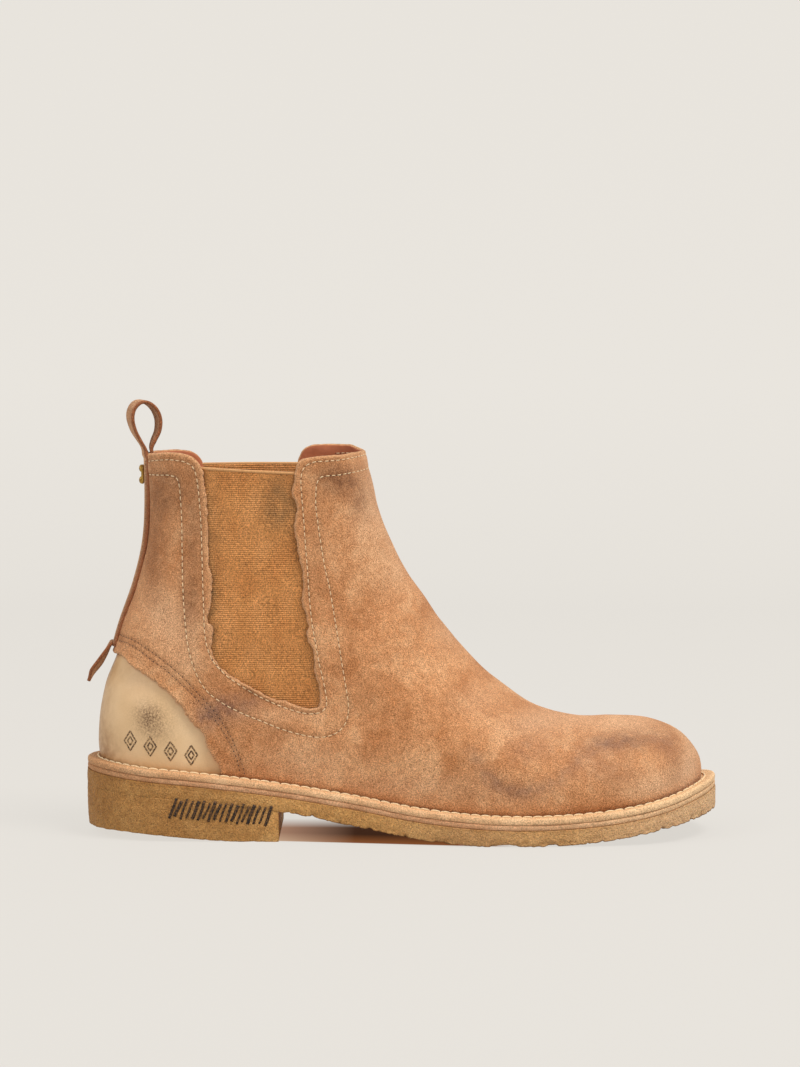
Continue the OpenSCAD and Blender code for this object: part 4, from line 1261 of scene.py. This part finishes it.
def build_crepe_piece(name, node, moved, faces, points):
    """A crepe piece: dark at the heel, dusty under the ball, honey in the waist and bleached at the toe, with
    a painted contact shadow along its lowest edge from the waist on.
    """
    x, _, z = points.T
    dust = 0.6 * (1 - ease(-96, -50, x)) + 0.3 * bump_at(x - 32, 40) + 0.25 * ease(-125, -146, x)
    dust = dust + 0.12 + 0.12 * wobble(points, 18, 4) + 0.3 * bump_at(z - crepe_top(x), 1.2)
    toe = 0.8 * ease(45, 140, x) + 0.35 * bump_at(x - 36, 30)
    # Painted contact shadow: the lowest 0.3 mm of the crepe, from the waist forward
    rim = 0.85 * (z < sole_bottom(x) + 0.3) * ease(-54, -50, x)
    make_piece(name, moved, faces, [CREPE], replaces=[node],
               values={"dust": np.clip(dust, 0, 1), "toe": toe, "rim": rim})


def build_outsole(lateral, medial):
    points, *faces = slab(lateral, medial, crepe_top, sole_bottom, rows=14, across=40,
                          profile=lambda f: 0.25 * np.sin(np.pi * f))
    x, y, z = points.T
    torn = 0.12 + 0.88 * ease(HEEL_BREAST - 2, HEEL_BREAST + 4, x)
    moved = points + (crumble(points, sole_bottom) - points) * torn[:, None]
    from_side = np.min([np.abs(y - np.interp(x, *line.T)) for line in (lateral, medial)], axis=0)
    under = (z < sole_bottom(x) + 0.01) & (from_side > 1.5)
    moved[:, 2] += under * (0.35 * wobble(points, 2.2, 8) + 0.3)
    top = z > crepe_top(x) - 0.01
    moved[top] = points[top]
    build_crepe_piece("crepe_outsole", "outsole", moved, faces, points)


def build_heel(lateral, medial):
    n = (lateral[:, 0] < HEEL_BREAST).sum()
    cut = (np.vstack([line[:n], [(HEEL_BREAST, np.interp(HEEL_BREAST, *line.T))]])
           for line in (lateral, medial))
    points, *faces = slab(*cut, lambda x: sole_bottom(x) + 0.25, heel_bottom, rows=26, across=40,
                          profile=lambda f: -0.6 * (1 - f) ** 1.5 + 0.2 * np.sin(np.pi * f), open_front=True)
    build_crepe_piece("crepe_heel", "heel_lift", crumble(points, heel_bottom, 0.2), faces, points)


# The welt's section: distance out from the sole's edge and height over the seat
WELT_SECTION = [(-15, -0.1), (-15, -3.0), (-14.8, -WELT_T), (-0.8, -WELT_T), (-0.35, -3.1), (-0.12, -2.8),
                (-0.02, -2.3), (0, -1.8), (-0.05, -1.3), (-0.18, -0.8), (-0.5, -0.4), (-1.1, -0.08),
                (-1.9, 0.05), (-3.8, 0.0), (-5.4, -0.1), (-7, -0.12)]


def build_welt():
    rings = []
    for out, h in WELT_SECTION:
        lateral, medial = outline(LEDGE + out)
        loop = np.vstack([lateral, medial[-2:0:-1]])
        rings.append(np.column_stack([loop, seat_edge(loop[:, 0]) + h]))
    points = np.concatenate(rings)
    i = np.arange(len(points)).reshape(len(rings), -1)
    ahead, over = np.roll(i, -1, axis=1), np.roll(i, -1, axis=0)
    quads = stack(i, ahead, np.roll(ahead, -1, axis=0), over).reshape(-1, 4)
    show = points[:, 2] > seat_edge(points[:, 0]) - 3
    uneven = 0.12 * wobble(points, 2.4, 5) + 0.16 * wobble(points, 12, 6)
    points[:, 1] += np.sign(points[:, 1]) * show * uneven
    points[:, 2] += show * 0.1 * wobble(points, 5, 7)
    make_piece("leather_welt", points, [quads], [WELT], replaces=["welt"])


def build_midsole():
    points, *faces = slab(*outline(LEDGE - 0.6), midsole_top, lambda x: crepe_top(x) + GLUE, rows=8, across=8,
                          profile=lambda f: 0.55 * np.sin(np.pi * f) ** 0.5)
    points[:, 1] += 0.12 * wobble(points, 3, 2) * np.sign(points[:, 1])
    make_piece("leather_midsole", points, faces, [MIDSOLE], replaces=["midsole"])


def build_welt_stitches():
    lateral, medial = outline(0.95)
    loop = np.vstack([lateral, medial[-2::-1]])
    path = np.column_stack([loop, seat_edge(loop[:, 0]) + 0.1])
    heap = Heap()
    stitch_row(heap, path, np.tile((0, 0, 1.0), (len(path), 1)), pitch=4.8, radius=0.47, fill=0.95, hole=0.3,
               sunk=0.4, proud=0.3, closed=True)
    heap.piece("welt_lock_stitches", [CREAM, HOLE_SHADE], replaces=["welt_stitches"])


def build_footbed():
    points, *faces = slab(*outline(-8.2), lambda x: seat_z(x) + 5.9, lambda x: seat_z(x) + 2.95, rows=4,
                          across=30, profile=lambda f: 0.4 * np.sin(np.pi * f))
    x, y, z = points.T
    hollow = blobs(x, y, (-112, 0, 24, 17, 1), (58, 4, 30, 24, 0.7))
    points[:, 2] += (z > seat_z(x) + 5.8) * (0.1 * wobble(points, 9, 3) - 0.5 * hollow)
    make_piece("footbed_sock", points, faces, [FOOTBED], replaces=["footbed"])


# ---------- Ink marks ----------

def ribbon(heap, points, normals, width):
    """A thin closed stroke of ink on a surface."""
    across = unit(np.cross(unit(np.gradient(points, axis=0)), normals)) * width / 2
    low, high = points - 0.15 * normals, points + 0.09 * normals
    rows = np.stack([low + across, high + 0.8 * across, high - 0.8 * across, low - across], 1)
    heap.body(rows.reshape(-1, 3), *tube_faces(1, len(points), 4))


def build_cap_marks():
    """Four plain lozenges where such a cap has a stamp."""
    heap = Heap()
    lozenge = np.array([(0, 4.6), (2.9, 0), (0, -4.6), (-2.9, 0), (0, 4.6)])
    for k in range(4):
        for size in (1.0, 0.45):
            corners = (-127.5 + 9.6 * k, 46.4 - 2.1 * k) + lozenge * size
            edges = [np.linspace(a, b, 9)[:-1] for a, b in zip(corners[:-1], corners[1:])]
            x, z = np.concatenate(edges + [corners[:1]]).T
            p, n = face(*locate(x, z, np.full(len(x), LATERAL)))
            lift = cap_height(p[:, 0], p[:, 2], np.full(len(p), LATERAL)) + 0.03
            ribbon(heap, p + n * lift[:, None], n, 0.85)
    heap.piece("cap_stamp_ink", [ink("stamp_ink", (84, 62, 46), (200, 164, 118))], slot="heel_cap")


def build_heel_marks():
    """A hatch of plain strokes on the outer side of the heel."""
    heap = Heap()
    lateral, _ = outline(LEDGE)
    s = np.linspace(0, 1, 9)
    for k in range(18):
        left, tall = -107 + 2.62 * k + 0.2 * math.sin(5.3 * k), 8.8 + 1.2 * math.sin(3.7 * k + 1)
        x = left - 3.4 * (s - 0.5) + 0.12 * np.sin(5 * s + k)
        z = 15.9 - 0.08 * (x + 107) + tall * (0.5 - s)
        y = np.interp(x, *lateral.T) + 0.9 * (1 - np.clip(z / 15, 0, 1)) ** 1.5 - 0.5
        ribbon(heap, stack(x, y, z), np.tile((0, -1.0, 0), (len(s), 1)), 1.25 + 0.3 * math.sin(1.9 * k))
    heap.piece("heel_hatch_ink", [ink("heel_ink", (38, 31, 28), (112, 78, 46))], slot="heel_lift")


def dress_hidden():
    """Materials of the CAD nodes that stay as they are, inside the boot."""
    looks = {"cork_filler": cork(), "shank": steel(), "insole_board": BOARD, "heel_nails": BRASS,
             "heel_stiffener": COUNTER, "toe_puff": PUFF}
    for node, material in looks.items():
        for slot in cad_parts[node].material_slots:
            slot.material = material


# ---------- Camera, light and floor ----------

CAMERA_AT, CAMERA_DOWN, LENS, SENSOR = (-0.7, -2000, 316.8), 5.0, 142.8, 36


def add_camera():
    data = bpy.data.cameras.new("camera")
    data.lens, data.sensor_width = LENS, SENSOR
    data.clip_start, data.clip_end = 0.05, 50
    camera = bpy.data.objects.new("camera", data)
    camera.location = np.array(CAMERA_AT) * MM
    camera.rotation_euler = (math.radians(90 - CAMERA_DOWN), 0, 0)
    bpy.context.scene.collection.objects.link(camera)
    bpy.context.scene.camera = camera


def add_light(name, at, aim, size, power, colour):
    data = bpy.data.lights.new(name, "AREA")
    data.shape, data.size, data.energy, data.color = "DISK", size, power, colour
    lamp = bpy.data.objects.new(name, data)
    lamp.location = at
    x, y, z = unit(np.array(aim) - at)
    lamp.rotation_euler = (math.acos(-z), 0, math.atan2(y, x) - math.pi / 2)
    bpy.context.scene.collection.objects.link(lamp)


def add_stage():
    """A floor that curves up into a backdrop."""
    far, bend, curve_from, wall_y, wall_z = 40.0, 1.6, 1.2, 2.8, 5.0
    a = np.linspace(0.1, np.pi / 2, 16)
    y = np.concatenate([[-far, curve_from], curve_from + bend * np.sin(a), [wall_y]])
    z = np.concatenate([[0.0, 0.0], bend - bend * np.cos(a), [wall_z]])
    points = np.array([(x, b, c) for b, c in zip(y, z) for x in (-far, far)]) / MM
    i = np.arange(len(y) - 1) * 2
    floor = make_piece("floor", points, [stack(i, i + 1, i + 3, i + 2)], [plain_floor()], body=None)


def add_world():
    world = bpy.data.worlds.new("studio")
    world.use_nodes = True
    sky = world.node_tree.nodes["Background"]
    sky.inputs["Color"].default_value = (1.0, 0.985, 0.96, 1)
    sky.inputs["Strength"].default_value = 0.5
    bpy.context.scene.world = world
    bpy.context.scene.view_settings.view_transform = "Standard"


add_camera()
add_world()
add_light("key", (1.0, -0.7, 2.2), (0, 0, 0.08), 1.2, 44, (1.0, 0.97, 0.94))
add_light("fill", (-1.7, -1.2, 1.5), (0, 0, 0.1), 1.6, 16, (1.0, 0.98, 0.96))
add_stage()
build_outsole(*outline(LEDGE))
build_heel(*outline(LEDGE))
build_welt()
build_midsole()
build_welt_stitches()
build_footbed()
build_upper()
build_cap()
build_gore("gore_lateral", LATERAL, (0.25, np.pi - 0.25))
build_gore("gore_medial", MEDIAL, (np.pi + 0.25, 2 * np.pi - 0.25))
build_lining("lining_front", 1, -62)
build_lining("lining_rear", -1, -61.5)
build_gore_seams()
build_cap_seams()
build_strip()
build_tail()
build_strip_seams()
build_brass()
build_cap_marks()
build_heel_marks()
dress_hidden()
